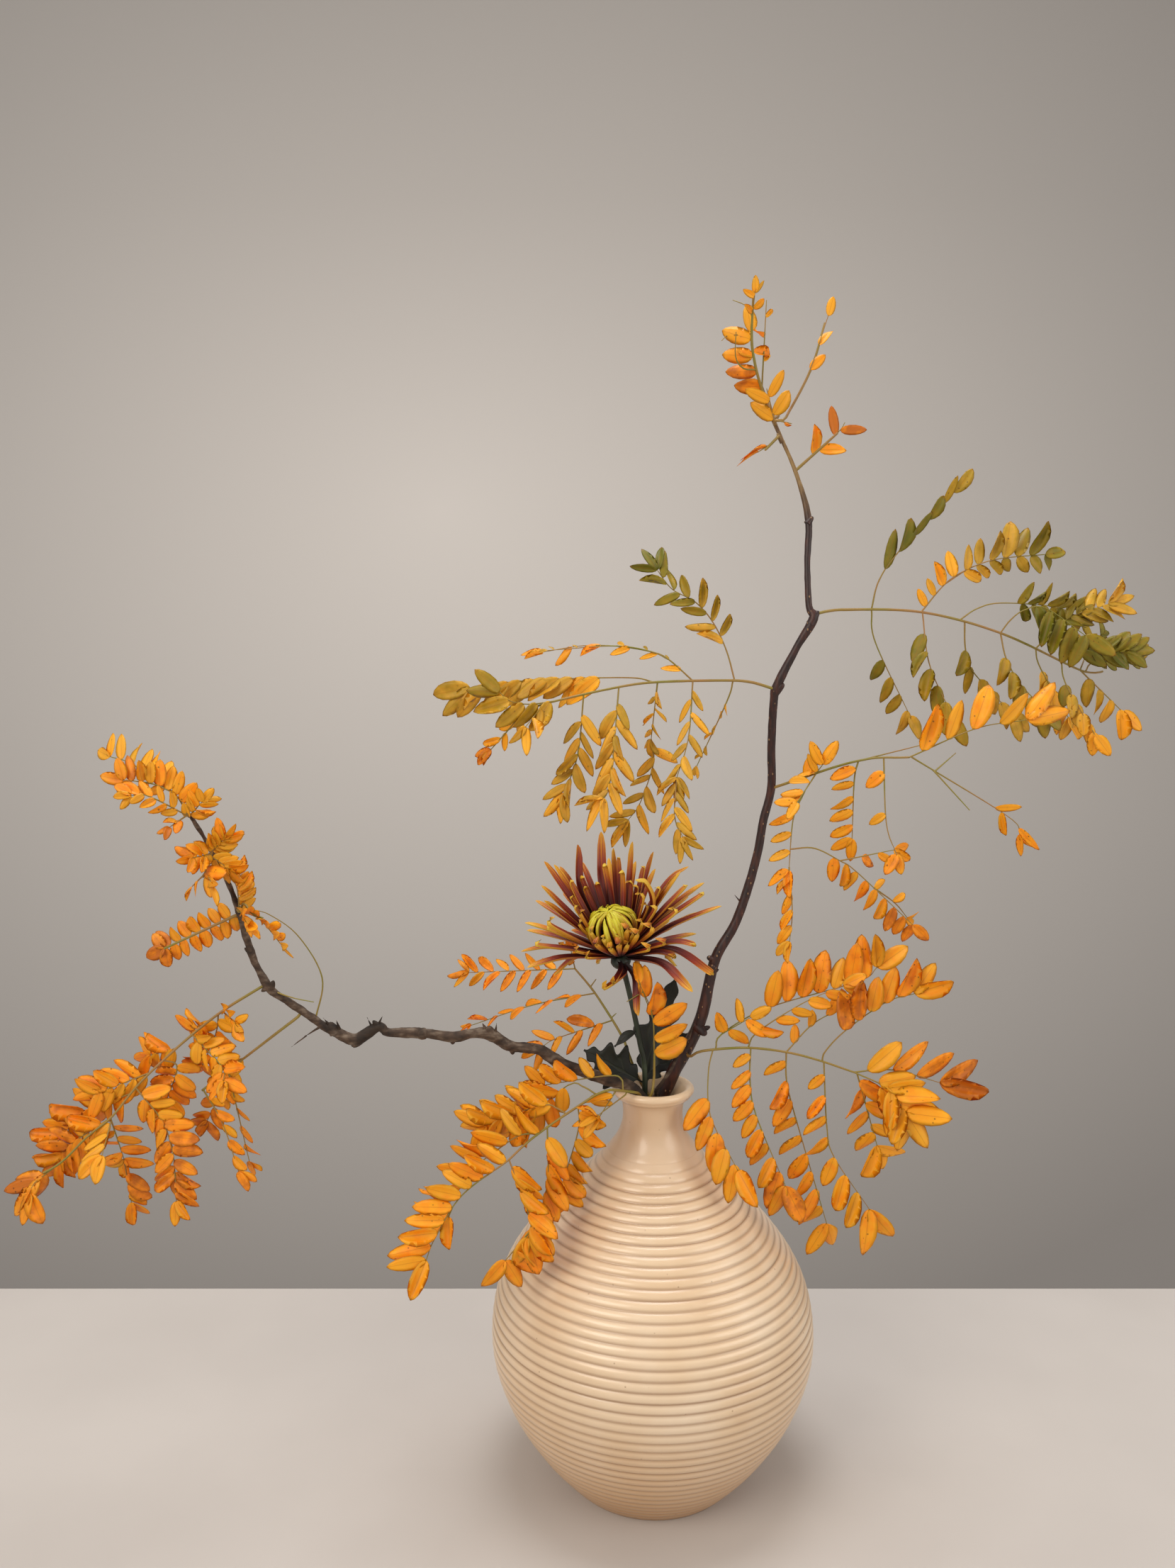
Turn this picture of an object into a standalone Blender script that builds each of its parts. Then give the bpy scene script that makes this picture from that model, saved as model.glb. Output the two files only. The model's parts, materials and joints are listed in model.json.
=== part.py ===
"""Ikebana arrangement: two bare branches with compound leaves and one spider chrysanthemum,
standing in a ribbed, long-necked stoneware bottle.

Millimetres in the tables, metres in the scene. +Z up; the origin is the centre of the
bottle's foot, -Y is the front and -X is the side that the long branch reaches over.
"""

import math
from collections import namedtuple

import bmesh
import bpy
import numpy as np
from mathutils import Matrix, Vector

MM = 0.001
GAP = 0.3             # kept between pieces that touch

# ---- Driving dimensions ---------------------------------------------------------------
FOOT_RADIUS = 61.8
FLOOR = 8.0           # thickness under the water
WALL = 5.0
VASE_STEPS = 36
LINE_STEP = 0.5       # between the places of a fine line, for finding where pieces meet
# The bottle's outside, from the rolled rim down to the foot, as (radius, height).
VASE_OUTSIDE = [
    (27.0, 291.0), (29.4, 289.2), (29.6, 286.6), (27.4, 285.0), (23.4, 282.0), (21.6, 274.0),
    (22.3, 264.0), (26.2, 253.5), (34.0, 243.0), (46.0, 230.0), (60.7, 215.0), (83.5, 190.0),
    (105.2, 160.0), (115.8, 130.0), (116.8, 95.0), (105.6, 60.0), (87.6, 30.0), (71.6, 10.0),
]
# The inside, from the floor up to the rim.
VASE_INSIDE = [
    (58.0, FLOOR), (67.0, 12.0), (83.0, 31.0), (100.5, 60.5), (111.6, 95.0), (110.7, 129.0), (100.4, 157.5),
    (79.2, 186.8), (56.6, 211.6), (29.9, 239.6), (17.4, 262.4), (16.6, 273.0), (19.6, 281.4), (24.2, 288.6),
]

# Each branch from its cut end on the bottle's floor, as (across, back, up, radius).
TALL_BRANCH = [
    (-50, 8, 9.4, 5.0), (-33, 8, 122, 5.0), (-14, 8, 236, 5.0), (-3, 8, 263, 5.0), (10, 8, 285, 5.0),
    (16, 7, 299, 4.9), (25, 5, 316, 4.6), (35, 0, 342, 4.4), (44, -3, 384, 3.7), (59, -4, 413, 3.3),
    (72, -4, 456, 3.1), (77, -4, 485, 3.0), (82, -5, 508, 2.9), (81, -9, 537, 2.8), (81, -17, 569, 2.8),
    (83, -20, 580, 3.2), (95, -23, 605, 2.5), (106, -25, 625, 3.3), (103, -24, 633, 2.3),
    (102, -20, 662, 2.1), (103, -15, 693, 2.3), (95, -10, 724, 1.4), (85, -7, 748, 1.3),
    (79, -5, 762, 1.4), (71, -5, 784, 0.9),
]
LEFT_BRANCH = [
    (47, -8, 9.2, 4.3), (31, -8, 122, 4.3), (14, -8, 236, 4.3), (4, -8, 261, 4.3),
    (-3, -8.5, 275, 4.3), (-12, -10.5, 288, 4.3), (-19, -12.5, 294.4, 4.3), (-24, -14, 296.8, 4.3),
    (-37, -13, 300, 4.3), (-52, -12, 305, 4.2), (-64, -12, 309, 4.4), (-75, -12, 316, 4.4),
    (-84, -12, 321, 3.7), (-102, -12, 323, 3.9), (-117, -13, 332, 4.4), (-130, -14, 333, 3.4),
    (-142, -16, 331, 3.9), (-161, -18, 334, 3.4), (-172, -19, 335, 3.9), (-188, -21, 336, 3.1),
    (-195, -22, 340, 3.6), (-210, -25, 332, 4.4), (-223, -28, 338, 3.6), (-231, -30, 343, 3.0),
    (-248, -34, 357, 2.7), (-260, -38, 367, 2.5), (-266, -40, 373, 2.9), (-273, -42, 388, 2.3),
    (-277, -43, 399, 2.5), (-284, -45, 427, 2.0), (-290, -48, 448, 1.7), (-302, -51, 475, 1.4),
    (-312, -54, 494, 1.2),
]
BRANCH_STEP, BRANCH_SIDES = 14.0, 8
RACHIS_RADIUS, RACHIS_TIP = 1.1, 0.8  # a compound leaf's main stalk
RACHIS_STEP, RACHIS_SIDES = 13.0, 6
STALK_HALF = 0.8      # half the width of a pinna's own stalk
BLADE = 0.8           # thickness of a leaf, petal or pinna
BARE_SHARE = 0.8      # how much of a pinna without leaflets is drawn before its tip
BARE_STEP = 0.25      # the longest share of a pinna between two places of its bare stalk
# A tooth of a pinna's blade stands for several leaflets: fewer of the long ones. It is widest
# at the first share of its own length and narrow again, by this much, at the second.
LONG_LEAFLET, LONG_A_TOOTH, SHORT_A_TOOTH = 9.0, 3, 4
TOOTH_PEAK, TOOTH_END, TOOTH_NOTCH = 0.25, 0.95, 0.4
TIP_SHARE, TIP_LEAST = 0.9, 2.0  # of a leaflet's reach past the pinna's end, and its least length
TURN_FIRST, TURN_STEP, TURNS = 5.0, 3.0, 4  # degrees that keep neighbouring blades out of one plane

# The flower: the middle of its receptacle and the direction it faces.
FLOWER = Vector((-23.7, -5.0, 384.0))
FLOWER_AXIS = Vector((-6.8, -9.0, 26.6)).normalized()
RING_RADIUS = 8.5     # each whorl of petals grows from a ring this wide
RING_HEIGHT = 3.4     # from one whorl's ring to the next
HEART_RADIUS = 16.5   # the ball of incurved petals in the middle
HEART_HEIGHT = 30.0
HEART_NECK = 6.0      # radius of what carries it
CUP_HEIGHT = 7.0      # the green cup under the petals
CUP_FOOT, CUP_TOP, CUP_SIDES = 2.4, 7.5, 16
MUM_STEM = [(-6, 0.3, 9.5), (-6, 0.3, 240), (-6, 0.3, 301), (-9, 0, 319), (-14, 0, 344)]
MUM_STEM_RADIUS = 2.0
MUM_STEM_STEP, MUM_STEM_SIDES = 18.0, 8
TWIG = [(5, 8, 276), (2, -1, 286), (6, -4, 293), (14, -5, 306), (21, -5, 322), (29, -6, 335)]
TWIG_RADIUS = 1.0
TWIG_STEP, TWIG_SIDES = 8, 6

# A whorl of the flower: which ring it is, number of petals, their length, and how steeply
# they rise (degrees above the ring's plane) at the ring and at the tip.
Whorl = namedtuple("Whorl", "ring petals length start end")
WHORLS = {
    "mum_petals_lower": Whorl(0, 13, 66, -14, -30),
    "mum_petals_outer": Whorl(1, 19, 70, 4, 2),
    "mum_petals_middle": Whorl(2, 19, 74, 25, 40),
    "mum_petals_inner": Whorl(3, 16, 78, 39, 74),
}
PETAL_HALVES = (1.0, 2.6, 0.9)  # half a petal's width at the ring, at its bend and at its tip
PETAL_BENDS = ((0.15, 0.4), (0.8, 0.6))  # share of the slope's change, and of the length, twice
PETAL_VARIES, PETAL_WANDER = 0.12, 3.0   # share of its length, and degrees of its slope
FRONT_LEAF_TIP = Vector((-15, -24, 378))  # no petal grows within PETAL_CLEAR of it
PETAL_CLEAR = 14.0

# A lobed leaf of the chrysanthemum: its midrib from the stem outwards and its half width.
MUM_LEAVES = {
    "mum_leaf_right": ([(-6, 0.3, 300), (-2, 8, 312), (8, 16, 338), (18, 18, 366)], 13),
    "mum_leaf_left": ([(-7, 0, 306), (-28, -2, 309), (-50, -2, 317)], 12),
    "mum_leaf_back": ([(-6, 0.3, 298), (2, 14, 304), (14, 24, 312), (28, 26, 321)], 9),
    "mum_bract_leaf": ([(-11, 0, 331), (-19, -3, 328), (-28, -4, 320)], 3.5),
}
MUM_LEAF_PLACES, MUM_LEAF_LOBES, MUM_LEAF_STALK = 12, 3.5, 0.12

# A compound leaf: the branch it grows on, points of its foot (across, back, up), how far back
# its main stalk starts and ends, that stalk as (across, up), and its pinnae. A pinna is a side
# stalk with a row of leaflets: its path as (across, up), how far back its tip leans from where
# it starts, the number of leaflets on a side, which side, their length, their angle to the
# stalk, where along it they start and end, and the turn of the blade about its stalk.
Leaf = namedtuple("Leaf", "host foot back_start back_end stalk pinnae")
Pinna = namedtuple("Pinna", "path lean count side length spread first last roll")
LEAVES = {
    # The olive leaf high on the right of the tall branch.
    "tall_leaf_right": Leaf("tall_branch", [], -23, 25,
        [(108, 628), (126, 631), (184, 630), (244, 616), (307, 590), (325, 589)], [
        Pinna([(148, 632), (152, 651), (165, 671), (199, 709)], -10, 5, "L", 24, 18, 0.3, 0.9, 35),
        Pinna([(148, 631), (152, 609), (180, 558)], 15, 4, "R", 16, 45, 0.45, 0.95, 10),
        Pinna([(184, 630), (201, 650), (219, 661), (239, 667), (270, 670)],
              5, 10, "L", 20, 62, 0.05, 0.98, 10),
        Pinna([(201, 650), (219, 661), (239, 667), (271, 670)], 5, 7, "R", 12, 70, 0.2, 1, 15),
        Pinna([(185, 629), (188, 594), (202, 558)], -20, 5, "R", 18, 30, 0.2, 0.85, 20),
        Pinna([(213, 625), (226, 633), (244, 637), (284, 635), (302, 629)],
              20, 7, "LR", 15, 55, 0.5, 1, 25),
        Pinna([(216, 623), (219, 605), (226, 589), (258, 559)], 18, 7, "R", 17, 30, 0.3, 1, 0),
        Pinna([(244, 616), (250, 625), (259, 632), (273, 633), (299, 614)],
              -12, 5, "R", 22, 75, 0.45, 1, 10),
        Pinna([(244, 615), (247, 598), (256, 580), (270, 564)], -15, 5, "R", 19, 35, 0.35, 1, 0),
        Pinna([(271, 605), (294, 626), (326, 637)], 10, 6, "LR", 19, 40, 0.35, 1, -10),
        Pinna([(271, 604), (276, 592), (301, 556)], 12, 6, "R", 15, 38, 0.3, 1, -20),
        Pinna([(290, 597), (303, 603), (334, 603)], -10, 6, "LR", 17, 38, 0.3, 1, 0),
        Pinna([(291, 595), (293, 580), (309, 544)], -22, 6, "R", 15, 28, 0.3, 0.95, 15),
        Pinna([(307, 590), (342, 560)], 8, 4, "R", 19, 45, 0.2, 0.95, 5),
        Pinna([(311, 590), (320, 596), (359, 600)], 25, 4, "LR", 14, 35, 0.35, 1, 0),
        Pinna([(307, 591), (320, 606), (334, 616)], 32, 3, "LR", 16, 50, 0.35, 1, 20),
    ]),
    # The olive and gold leaf on the left of the tall branch.
    "tall_leaf_left": Leaf("tall_branch", [], -20, -70,
        [(81, 577), (63, 582), (42, 583), (-1, 582), (-26, 579), (-68, 570), (-87, 564), (-98, 555)], [
        Pinna([(52, 582), (47, 603), (38, 622), (26, 636), (10, 645), (0, 658)],
              10, 6, "LR", 15, 48, 0.28, 1, 20),
        Pinna([(51, 582), (48, 569), (29, 523)], 20, 4, "LR", 8, 25, 0.25, 1, 50),
        Pinna([(23, 582), (7, 597), (-4, 602), (-29, 606), (-52, 606), (-77, 602)],
              -8, 6, "L", 15, 28, 0.1, 1, 30),
        Pinna([(7, 597), (-4, 602), (-29, 606), (-74, 603)], -8, 6, "R", 6, 50, 0, 0.95, 50),
        Pinna([(23, 582), (20, 545), (12, 519)], -15, 7, "LR", 12, 33, 0.1, 1, 40),
        Pinna([(12, 519), (10, 494), (15, 481)], -15, 5, "LR", 13, 42, 0, 1, 15),
        Pinna([(-1, 582), (-4, 543)], 15, 5, "LR", 9, 38, 0.15, 1, 50),
        Pinna([(-4, 543), (-2, 528), (-6, 512), (-12, 496), (-19, 486)], 12, 6, "LR", 15, 35, 0.15, 1, 10),
        Pinna([(-27, 578), (-31, 530), (-34, 512), (-37, 507)], -18, 9, "LR", 16, 33, 0.15, 1, 25),
        Pinna([(-50, 574), (-54, 534), (-63, 508)], 8, 7, "LR", 16, 33, 0.22, 1, 25),
        Pinna([(-3, 582), (-22, 585), (-89, 583), (-127, 578)], 12, 9, "L", 18, 42, 0.18, 1, 20),
        Pinna([(-68, 570), (-85, 568), (-97, 570), (-104, 576)], -14, 4, "L", 15, 40, 0.1, 1, 10),
        Pinna([(-76, 567), (-87, 554)], -20, 3, "L", 17, 32, 0.2, 1, 0),
        Pinna([(-89, 564), (-111, 538)], 8, 3, "LR", 12, 28, 0.1, 1, 10),
    ]),
    # The orange leaf half way up the right side, which comes forward.
    "tall_leaf_middle": Leaf("tall_branch", [], -5, -60,
        [(82, 507), (134, 529), (164, 533)], [
        Pinna([(164, 533), (205, 552), (237, 558)], -10, 6, "L", 23, 48, 0.15, 1, 0),
        Pinna([(134, 529), (187, 541)], 10, 0, "L", 7, 55, 0.12, 1, 0),
        Pinna([(165, 533), (233, 493), (243, 481)], 12, 5, "LR", 15, 42, 0.7, 0.98, 45),
        Pinna([(180, 523), (199, 500)], -20, 0, "L", 6, 55, 0.12, 1, 0),
        Pinna([(180, 523), (198, 535)], 10, 0, "L", 7, 55, 0.12, 1, 0),
        Pinna([(103, 516), (109, 519), (113, 526)], -12, 3, "L", 17, 60, 0.1, 1, 0),
        Pinna([(110, 519), (94, 501)], -18, 4, "R", 15, 62, 0, 1, 30),
        Pinna([(102, 507), (92, 490), (88, 456)], -14, 5, "R", 17, 60, 0.1, 1, 20),
        Pinna([(88, 458), (90, 429), (88, 409)], -8, 5, "R", 15, 35, 0.15, 1, 30),
        Pinna([(135, 529), (133, 516), (134, 475)], 10, 6, "R", 18, 58, 0.1, 1, 10),
        Pinna([(150, 532), (150, 489), (156, 469)], -15, 3, "R", 14, 55, 0.15, 1, 0),
        Pinna([(89, 470), (106, 470), (124, 461), (136, 453), (177, 415)], 14, 9, "R", 18, 65, 0.3, 1, 8),
        Pinna([(124, 461), (163, 467)], 10, 3, "R", 14, 40, 0.4, 1, 0),
        Pinna([(149, 442), (166, 429), (177, 417)], 20, 3, "L", 11, 60, 0, 1, 10),
    ]),
    # The large orange leaf that hangs over the vase's right shoulder.
    "tall_leaf_low_right": Leaf("tall_branch", [], -2, -30,
        [(26, 312), (32, 316), (44, 319), (67, 322), (92, 321), (114, 317), (139, 310)], [
        Pinna([(139, 310), (159, 311), (176, 308), (202, 299)], 10, 4, "L", 27, 38, 0.15, 1, 0),
        Pinna([(139, 310), (161, 301), (172, 286)], -14, 5, "LR", 24, 45, 0.4, 1, 0),
        Pinna([(43, 318), (39, 306), (38, 285), (42, 270), (57, 244)], -35, 5, "R", 24, 38, 0.4, 0.95, 5),
        Pinna([(69, 321), (68, 300), (72, 276), (92, 228)], -18, 11, "R", 19, 52, 0.05, 1, 5),
        Pinna([(93, 321), (94, 300), (100, 276), (127, 188)], 14, 11, "R", 20, 55, 0.05, 1, 0),
        Pinna([(118, 315), (121, 270), (126, 249), (151, 212)], -8, 9, "R", 20, 50, 0.08, 1, 0),
        Pinna([(141, 309), (160, 251)], 16, 4, "LR", 21, 42, 0.1, 1, 0),
        Pinna([(44, 320), (49, 330), (83, 348), (149, 365), (163, 375)], 16, 8, "L", 24, 62, 0.38, 1, 0),
        Pinna([(49, 330), (68, 345)], -10, 2, "LR", 15, 75, 0.1, 0.7, 0),
        Pinna([(67, 323), (73, 334), (104, 357), (131, 371)], -14, 6, "R", 14, 40, 0.2, 1, 0),
        Pinna([(93, 322), (113, 340), (137, 351)], 10, 4, "L", 12, 40, 0.15, 1, 10),
        Pinna([(118, 318), (119, 323), (132, 339), (159, 361), (178, 368)],
              -12, 6, "L", 23, 45, 0.35, 1, 0),
    ]),
    # The large orange leaf that crosses the rim and hangs on the left.
    "neck_leaf_left": Leaf("left_branch", [(-9, -10, 285), (-11, -18, 290), (-14, -24, 293.4)], -38, -68,
        [(-28, 300), (-41, 299), (-81, 277), (-101, 262)], [
        Pinna([(-101, 262), (-131, 243), (-148, 218), (-153, 206)], -27, 10, "R", 23, 62, 0.02, 1, 0),
        Pinna([(-136, 236), (-141, 226)], 0, 1, "L", 19, 30, 0.6, 1, 0),
        Pinna([(-22, 300), (-24, 306), (-35, 307), (-78, 297)], 14, 5, "R", 17, 50, 0.25, 1, 5),
        Pinna([(-41, 299), (-50, 303), (-61, 303), (-90, 274)], 20, 4, "LR", 19, 45, 0.4, 1, 0),
        Pinna([(-61, 287), (-69, 292), (-79, 293), (-118, 277)], 10, 9, "LR", 22, 42, 0.2, 1, 0),
        Pinna([(-81, 277), (-94, 275), (-110, 263), (-125, 249), (-146, 218)], 14, 9, "R", 23, 55, 0, 1, 0),
        Pinna([(-54, 293), (-54, 274), (-66, 231)], 8, 7, "L", 18, 58, 0.08, 1, 0),
        Pinna([(-28, 299), (-39, 285)], -10, 2, "R", 17, 40, 0.2, 1, 20),
        Pinna([(-74, 280), (-75, 241), (-84, 211)], -4, 8, "L", 22, 30, 0.1, 1, 0),
        Pinna([(-100, 262), (-89, 235), (-85, 220), (-87, 214)], -12, 7, "L", 21, 32, 0.1, 1, 0),
        Pinna([(-85, 219), (-102, 200)], -5, 4, "L", 21, 75, 0, 1, 0),
        Pinna([(-19, 298), (-20, 295), (-41, 286)], -20, 2, "R", 15, 45, 0.5, 1, 25),
    ]),
    # The leaf behind the flower, with thin rolled leaflets.
    "neck_leaf_back": Leaf("tall_branch", [(3, 8, 272), (-6, 12, 284), (-12, 15, 295)], 15, 45,
        [(-18, 311), (-23, 322), (-42, 349), (-57, 365)], [
        Pinna([(-57, 365), (-138, 360)], 8, 7, "LR", 18, 48, 0.12, 1, 35),
        Pinna([(-57, 365), (-60, 382)], -10, 2, "LR", 12, 35, 0.3, 1, 10),
        Pinna([(-43, 348), (-88, 338), (-136, 320)], 14, 5, "LR", 15, 22, 0.1, 1, 60),
        Pinna([(-30, 330), (-70, 320), (-80, 315)], -12, 4, "LR", 20, 40, 0.15, 1, 40),
        Pinna([(-43, 355), (-41, 359)], 0, 0, "L", 5, 55, 0.12, 1, 0),
        Pinna([(-29, 333), (-26, 336)], 0, 0, "L", 5, 55, 0.12, 1, 0),
    ]),
    # Broad leaflets stacked on one side, in front of the stems.
    "neck_leaf_front": Leaf("left_branch", [(-7, -9, 281), (-2, -16, 289)], -13, -17,
        [(0, 300), (0, 319)], [
        Pinna([(0, 319), (-4, 349), (-15, 372)], -9, 5, "R", 22, 38, 0, 0.8, 0),
        Pinna([(-10, 364), (-16, 376)], 0, 2, "R", 18, 45, 0.2, 0.9, 0),
        Pinna([(-14, 370), (-14, 379)], 10, 1, "R", 18, 5, 0.1, 0.3, 20),
        Pinna([(-10, 365), (-20, 358)], 0, 0, "L", 5, 55, 0.12, 1, 0),
    ]),
    # The leaf that ends the tall branch.
    "tall_leaf_tip": Leaf("tall_branch", [], -5, -30,
        [(79, 761), (69, 784), (64, 800), (62, 814), (62, 842)], [
        Pinna([(75, 770), (64, 801), (62, 816)], -8, 5, "L", 16, 68, 0.25, 0.98, 0),
        Pinna([(65, 798), (65, 823)], 15, 4, "LR", 13, 80, 0.1, 0.9, 35),
        Pinna([(62, 825), (62, 836)], -10, 4, "LR", 9, 55, 0.1, 1, 20),
        Pinna([(72, 781), (75, 842)], 12, 2, "R", 8, 35, 0.3, 0.8, 20),
        Pinna([(64, 814), (48, 815), (43, 811)], -10, 0, "L", 6, 55, 0.12, 1, 0),
        Pinna([(66, 791), (57, 791), (51, 797), (50, 811)], -20, 0, "L", 6, 55, 0.12, 1, 0),
        Pinna([(62, 824), (58, 832), (50, 837)], 10, 0, "L", 6, 55, 0.12, 1, 0),
    ]),
    # A thin stalk beside the tip with one last leaflet.
    "tall_leaf_tip_right": Leaf("tall_branch", [], -15, 6,
        [(79, 758), (85, 758), (105, 794), (116, 828)], [
        Pinna([(89, 766), (103, 792), (115, 828)], 0, 2, "R", 14, 28, 0.45, 0.7, 0),
        Pinna([(79, 758), (72, 777)], -10, 2, "LR", 20, 45, 0.05, 0.6, 0),
        Pinna([(80, 758), (89, 754)], -10, 1, "R", 7, 10, 0.5, 1, 60),
    ]),
    # A short leaf below the tip, on the right.
    "tall_leaf_high": Leaf("tall_branch", [], -8, -20,
        [(95, 726), (121, 749)], [
        Pinna([(97, 729), (123, 751), (128, 758)], 0, 5, "LR", 18, 50, 0.2, 0.85, 0),
    ]),
    # A short leaf below the tip, rolled up, on the left.
    "tall_leaf_curled": Leaf("tall_branch", [], -8, -30,
        [(83, 749), (71, 736)], [
        Pinna([(76, 742), (67, 736)], 0, 2, "R", 19, 18, 0.3, 0.9, 60),
    ]),
    # The long leaf that hangs from the left branch, in fourteen pinnae.
    "left_leaf_long": Leaf("left_branch", [], -40, -95,
        [(-274, 372), (-296, 359), (-318, 342), (-345, 317), (-362, 296), (-375, 286),
         (-390, 271), (-401, 265)], [
        Pinna([(-390, 272), (-406, 259), (-408, 253)], -8, 4, "LR", 19, 30, 0.45, 1, 10),
        Pinna([(-362, 295), (-390, 277), (-399, 266)], 5, 7, "LR", 19, 50, 0.1, 1, 0),
        Pinna([(-352, 310), (-385, 295), (-402, 278)], 14, 7, "LR", 21, 48, 0.1, 1, 0),
        Pinna([(-340, 323), (-370, 312)], -8, 5, "LR", 18, 50, 0.1, 1, 0),
        Pinna([(-324, 337), (-345, 329)], 10, 4, "LR", 18, 50, 0.1, 1, 0),
        Pinna([(-305, 351), (-317, 345)], 10, 3, "LR", 17, 55, 0.1, 1, 0),
        Pinna([(-296, 359), (-283, 356)], -15, 3, "LR", 13, 40, 0.1, 1, 0),
        Pinna([(-298, 357), (-302, 342), (-314, 318)], 12, 5, "LR", 15, 65, 0.1, 1, 0),
        Pinna([(-313, 344), (-291, 327), (-289, 319)], -16, 6, "LR", 15, 55, 0.1, 1, 0),
        Pinna([(-330, 328), (-324, 326), (-327, 314), (-340, 288)], 14, 7, "LR", 16, 62, 0.2, 1, 0),
        Pinna([(-347, 312), (-330, 292), (-323, 273), (-321, 258)], -8, 8, "LR", 17, 55, 0.1, 1, 0),
        Pinna([(-321, 258), (-319, 241)], -5, 3, "L", 16, 42, 0.3, 1, 0),
        Pinna([(-361, 294), (-361, 261)], 16, 4, "LR", 17, 62, 0.2, 1, 0),
        Pinna([(-361, 261), (-361, 226)], 10, 4, "L", 17, 40, 0.35, 1, 0),
        Pinna([(-362, 294), (-362, 277)], -18, 4, "R", 18, 45, 0.1, 1, 0),
    ]),
    # The fan of leaflets that ends the left branch.
    "left_leaf_tip": Leaf("left_branch", [], -60, -62,
        [(-311, 494), (-313, 500)], [
        Pinna([(-313, 500), (-317, 508), (-324, 513), (-333, 517), (-348, 519)],
              -11, 8, "R", 16, 68, 0.1, 1, 0),
        Pinna([(-317, 508), (-325, 514), (-346, 518)], 0, 3, "L", 12, 45, 0.3, 1, 0),
        Pinna([(-323, 514), (-351, 528), (-368, 532)], 22, 6, "R", 19, 60, 0.05, 1, 15),
        Pinna([(-311, 494), (-331, 509), (-340, 510)], -22, 5, "LR", 12, 50, 0.2, 1, 30),
        Pinna([(-312, 495), (-320, 488)], -10, 2, "LR", 10, 25, 0.4, 1, 30),
        Pinna([(-308, 493), (-300, 504)], -6, 4, "LR", 13, 50, 0, 1, 30),
    ]),
    # The dried, crumpled leaf below it.
    "left_leaf_crumpled": Leaf("left_branch", [], -58, -66,
        [(-297, 470), (-297, 464), (-301, 454)], [
        Pinna([(-297, 470), (-288, 479)], -2, 6, "LR", 14, 50, 0, 1, 35),
        Pinna([(-297, 469), (-305, 468)], -12, 4, "LR", 12, 55, 0.1, 1, 20),
        Pinna([(-295, 467), (-285, 459)], 0, 4, "LR", 14, 45, 0.1, 1, 10),
        Pinna([(-300, 458), (-290, 451)], -15, 2, "LR", 19, 25, 0, 0.6, 10),
        Pinna([(-300, 456), (-310, 447)], 5, 2, "L", 11, 50, 0.5, 1, 45),
    ]),
    # Two close rows of narrow leaflets.
    "left_leaf_row": Leaf("left_branch", [], -54, -62,
        [(-281, 429), (-277, 435), (-273, 430), (-263, 426)], [
        Pinna([(-280, 429), (-281, 445), (-284, 453)], -4, 8, "R", 16, 70, 0.05, 1, 55),
        Pinna([(-280, 428), (-271, 427), (-263, 422), (-251, 409)], -10, 8, "L", 14, 65, 0.2, 1, 55),
        Pinna([(-280, 427), (-270, 425)], -20, 3, "LR", 13, 40, 0.1, 1, 20),
    ]),
    # A small leaf with round leaflets in pairs.
    "left_leaf_paired": Leaf("left_branch", [], -45, -60,
        [(-285, 425), (-330, 405)], [
        Pinna([(-285, 425), (-335, 402)], 0, 8, "LR", 13, 75, 0.05, 1, 0),
    ]),
    # A thinner leaf behind it, nearer the vase.
    "left_leaf_low": Leaf("left_branch", [], -34, -50,
        [(-248, 351), (-311, 304)], [
        Pinna([(-283, 325), (-291, 318), (-313, 277)], 8, 6, "LR", 16, 45, 0.05, 1, 10),
        Pinna([(-311, 305), (-296, 283), (-284, 252)], -12, 6, "L", 14, 25, 0.1, 1, 10),
        Pinna([(-294, 316), (-287, 244)], 20, 5, "L", 15, 22, 0.2, 1, 15),
    ]),}
COLOURS = {
    "vase": (0.86, 0.76, 0.66), "bark": (0.16, 0.08, 0.06), "grey_bark": (0.24, 0.19, 0.15),
    "olive": (0.25, 0.20, 0.05), "gold": (0.80, 0.42, 0.08), "orange": (0.90, 0.38, 0.06),
    "stem": (0.04, 0.08, 0.03), "petal": (0.55, 0.16, 0.05), "heart": (0.62, 0.60, 0.12),
    "mum_leaf": (0.03, 0.06, 0.03),
}
LEAF_COLOURS = {"tall_leaf_right": "olive", "tall_leaf_left": "gold"}


# ---- Modelling tools ------------------------------------------------------------------
def clear_scene():
    for obj in list(bpy.data.objects):
        bpy.data.objects.remove(obj)


def new_collection(name):
    made = bpy.data.collections.new(name)
    bpy.context.scene.collection.children.link(made)
    return made


def finish_of(name, roughness):
    made = bpy.data.materials.get(name) or bpy.data.materials.new(name)
    made.use_nodes = True
    shader = made.node_tree.nodes["Principled BSDF"]
    shader.inputs["Base Color"].default_value = (*COLOURS[name], 1.0)
    shader.inputs["Roughness"].default_value = roughness
    shader.inputs["Metallic"].default_value = 0.0
    return made


def add_piece(name, data, finish, roughness=0.6):
    piece = bpy.data.objects.new(name, data)
    data.materials.clear()
    data.materials.append(finish_of(finish, roughness))
    PIECES.objects.link(piece)
    return piece


def add_helper(name, data):
    """A piece that a Boolean joins to another: it isn't a node."""
    helper = bpy.data.objects.new(name, data)
    helper.hide_render = True
    helper.display_type = "WIRE"
    HELPERS.objects.link(helper)
    return helper


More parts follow.
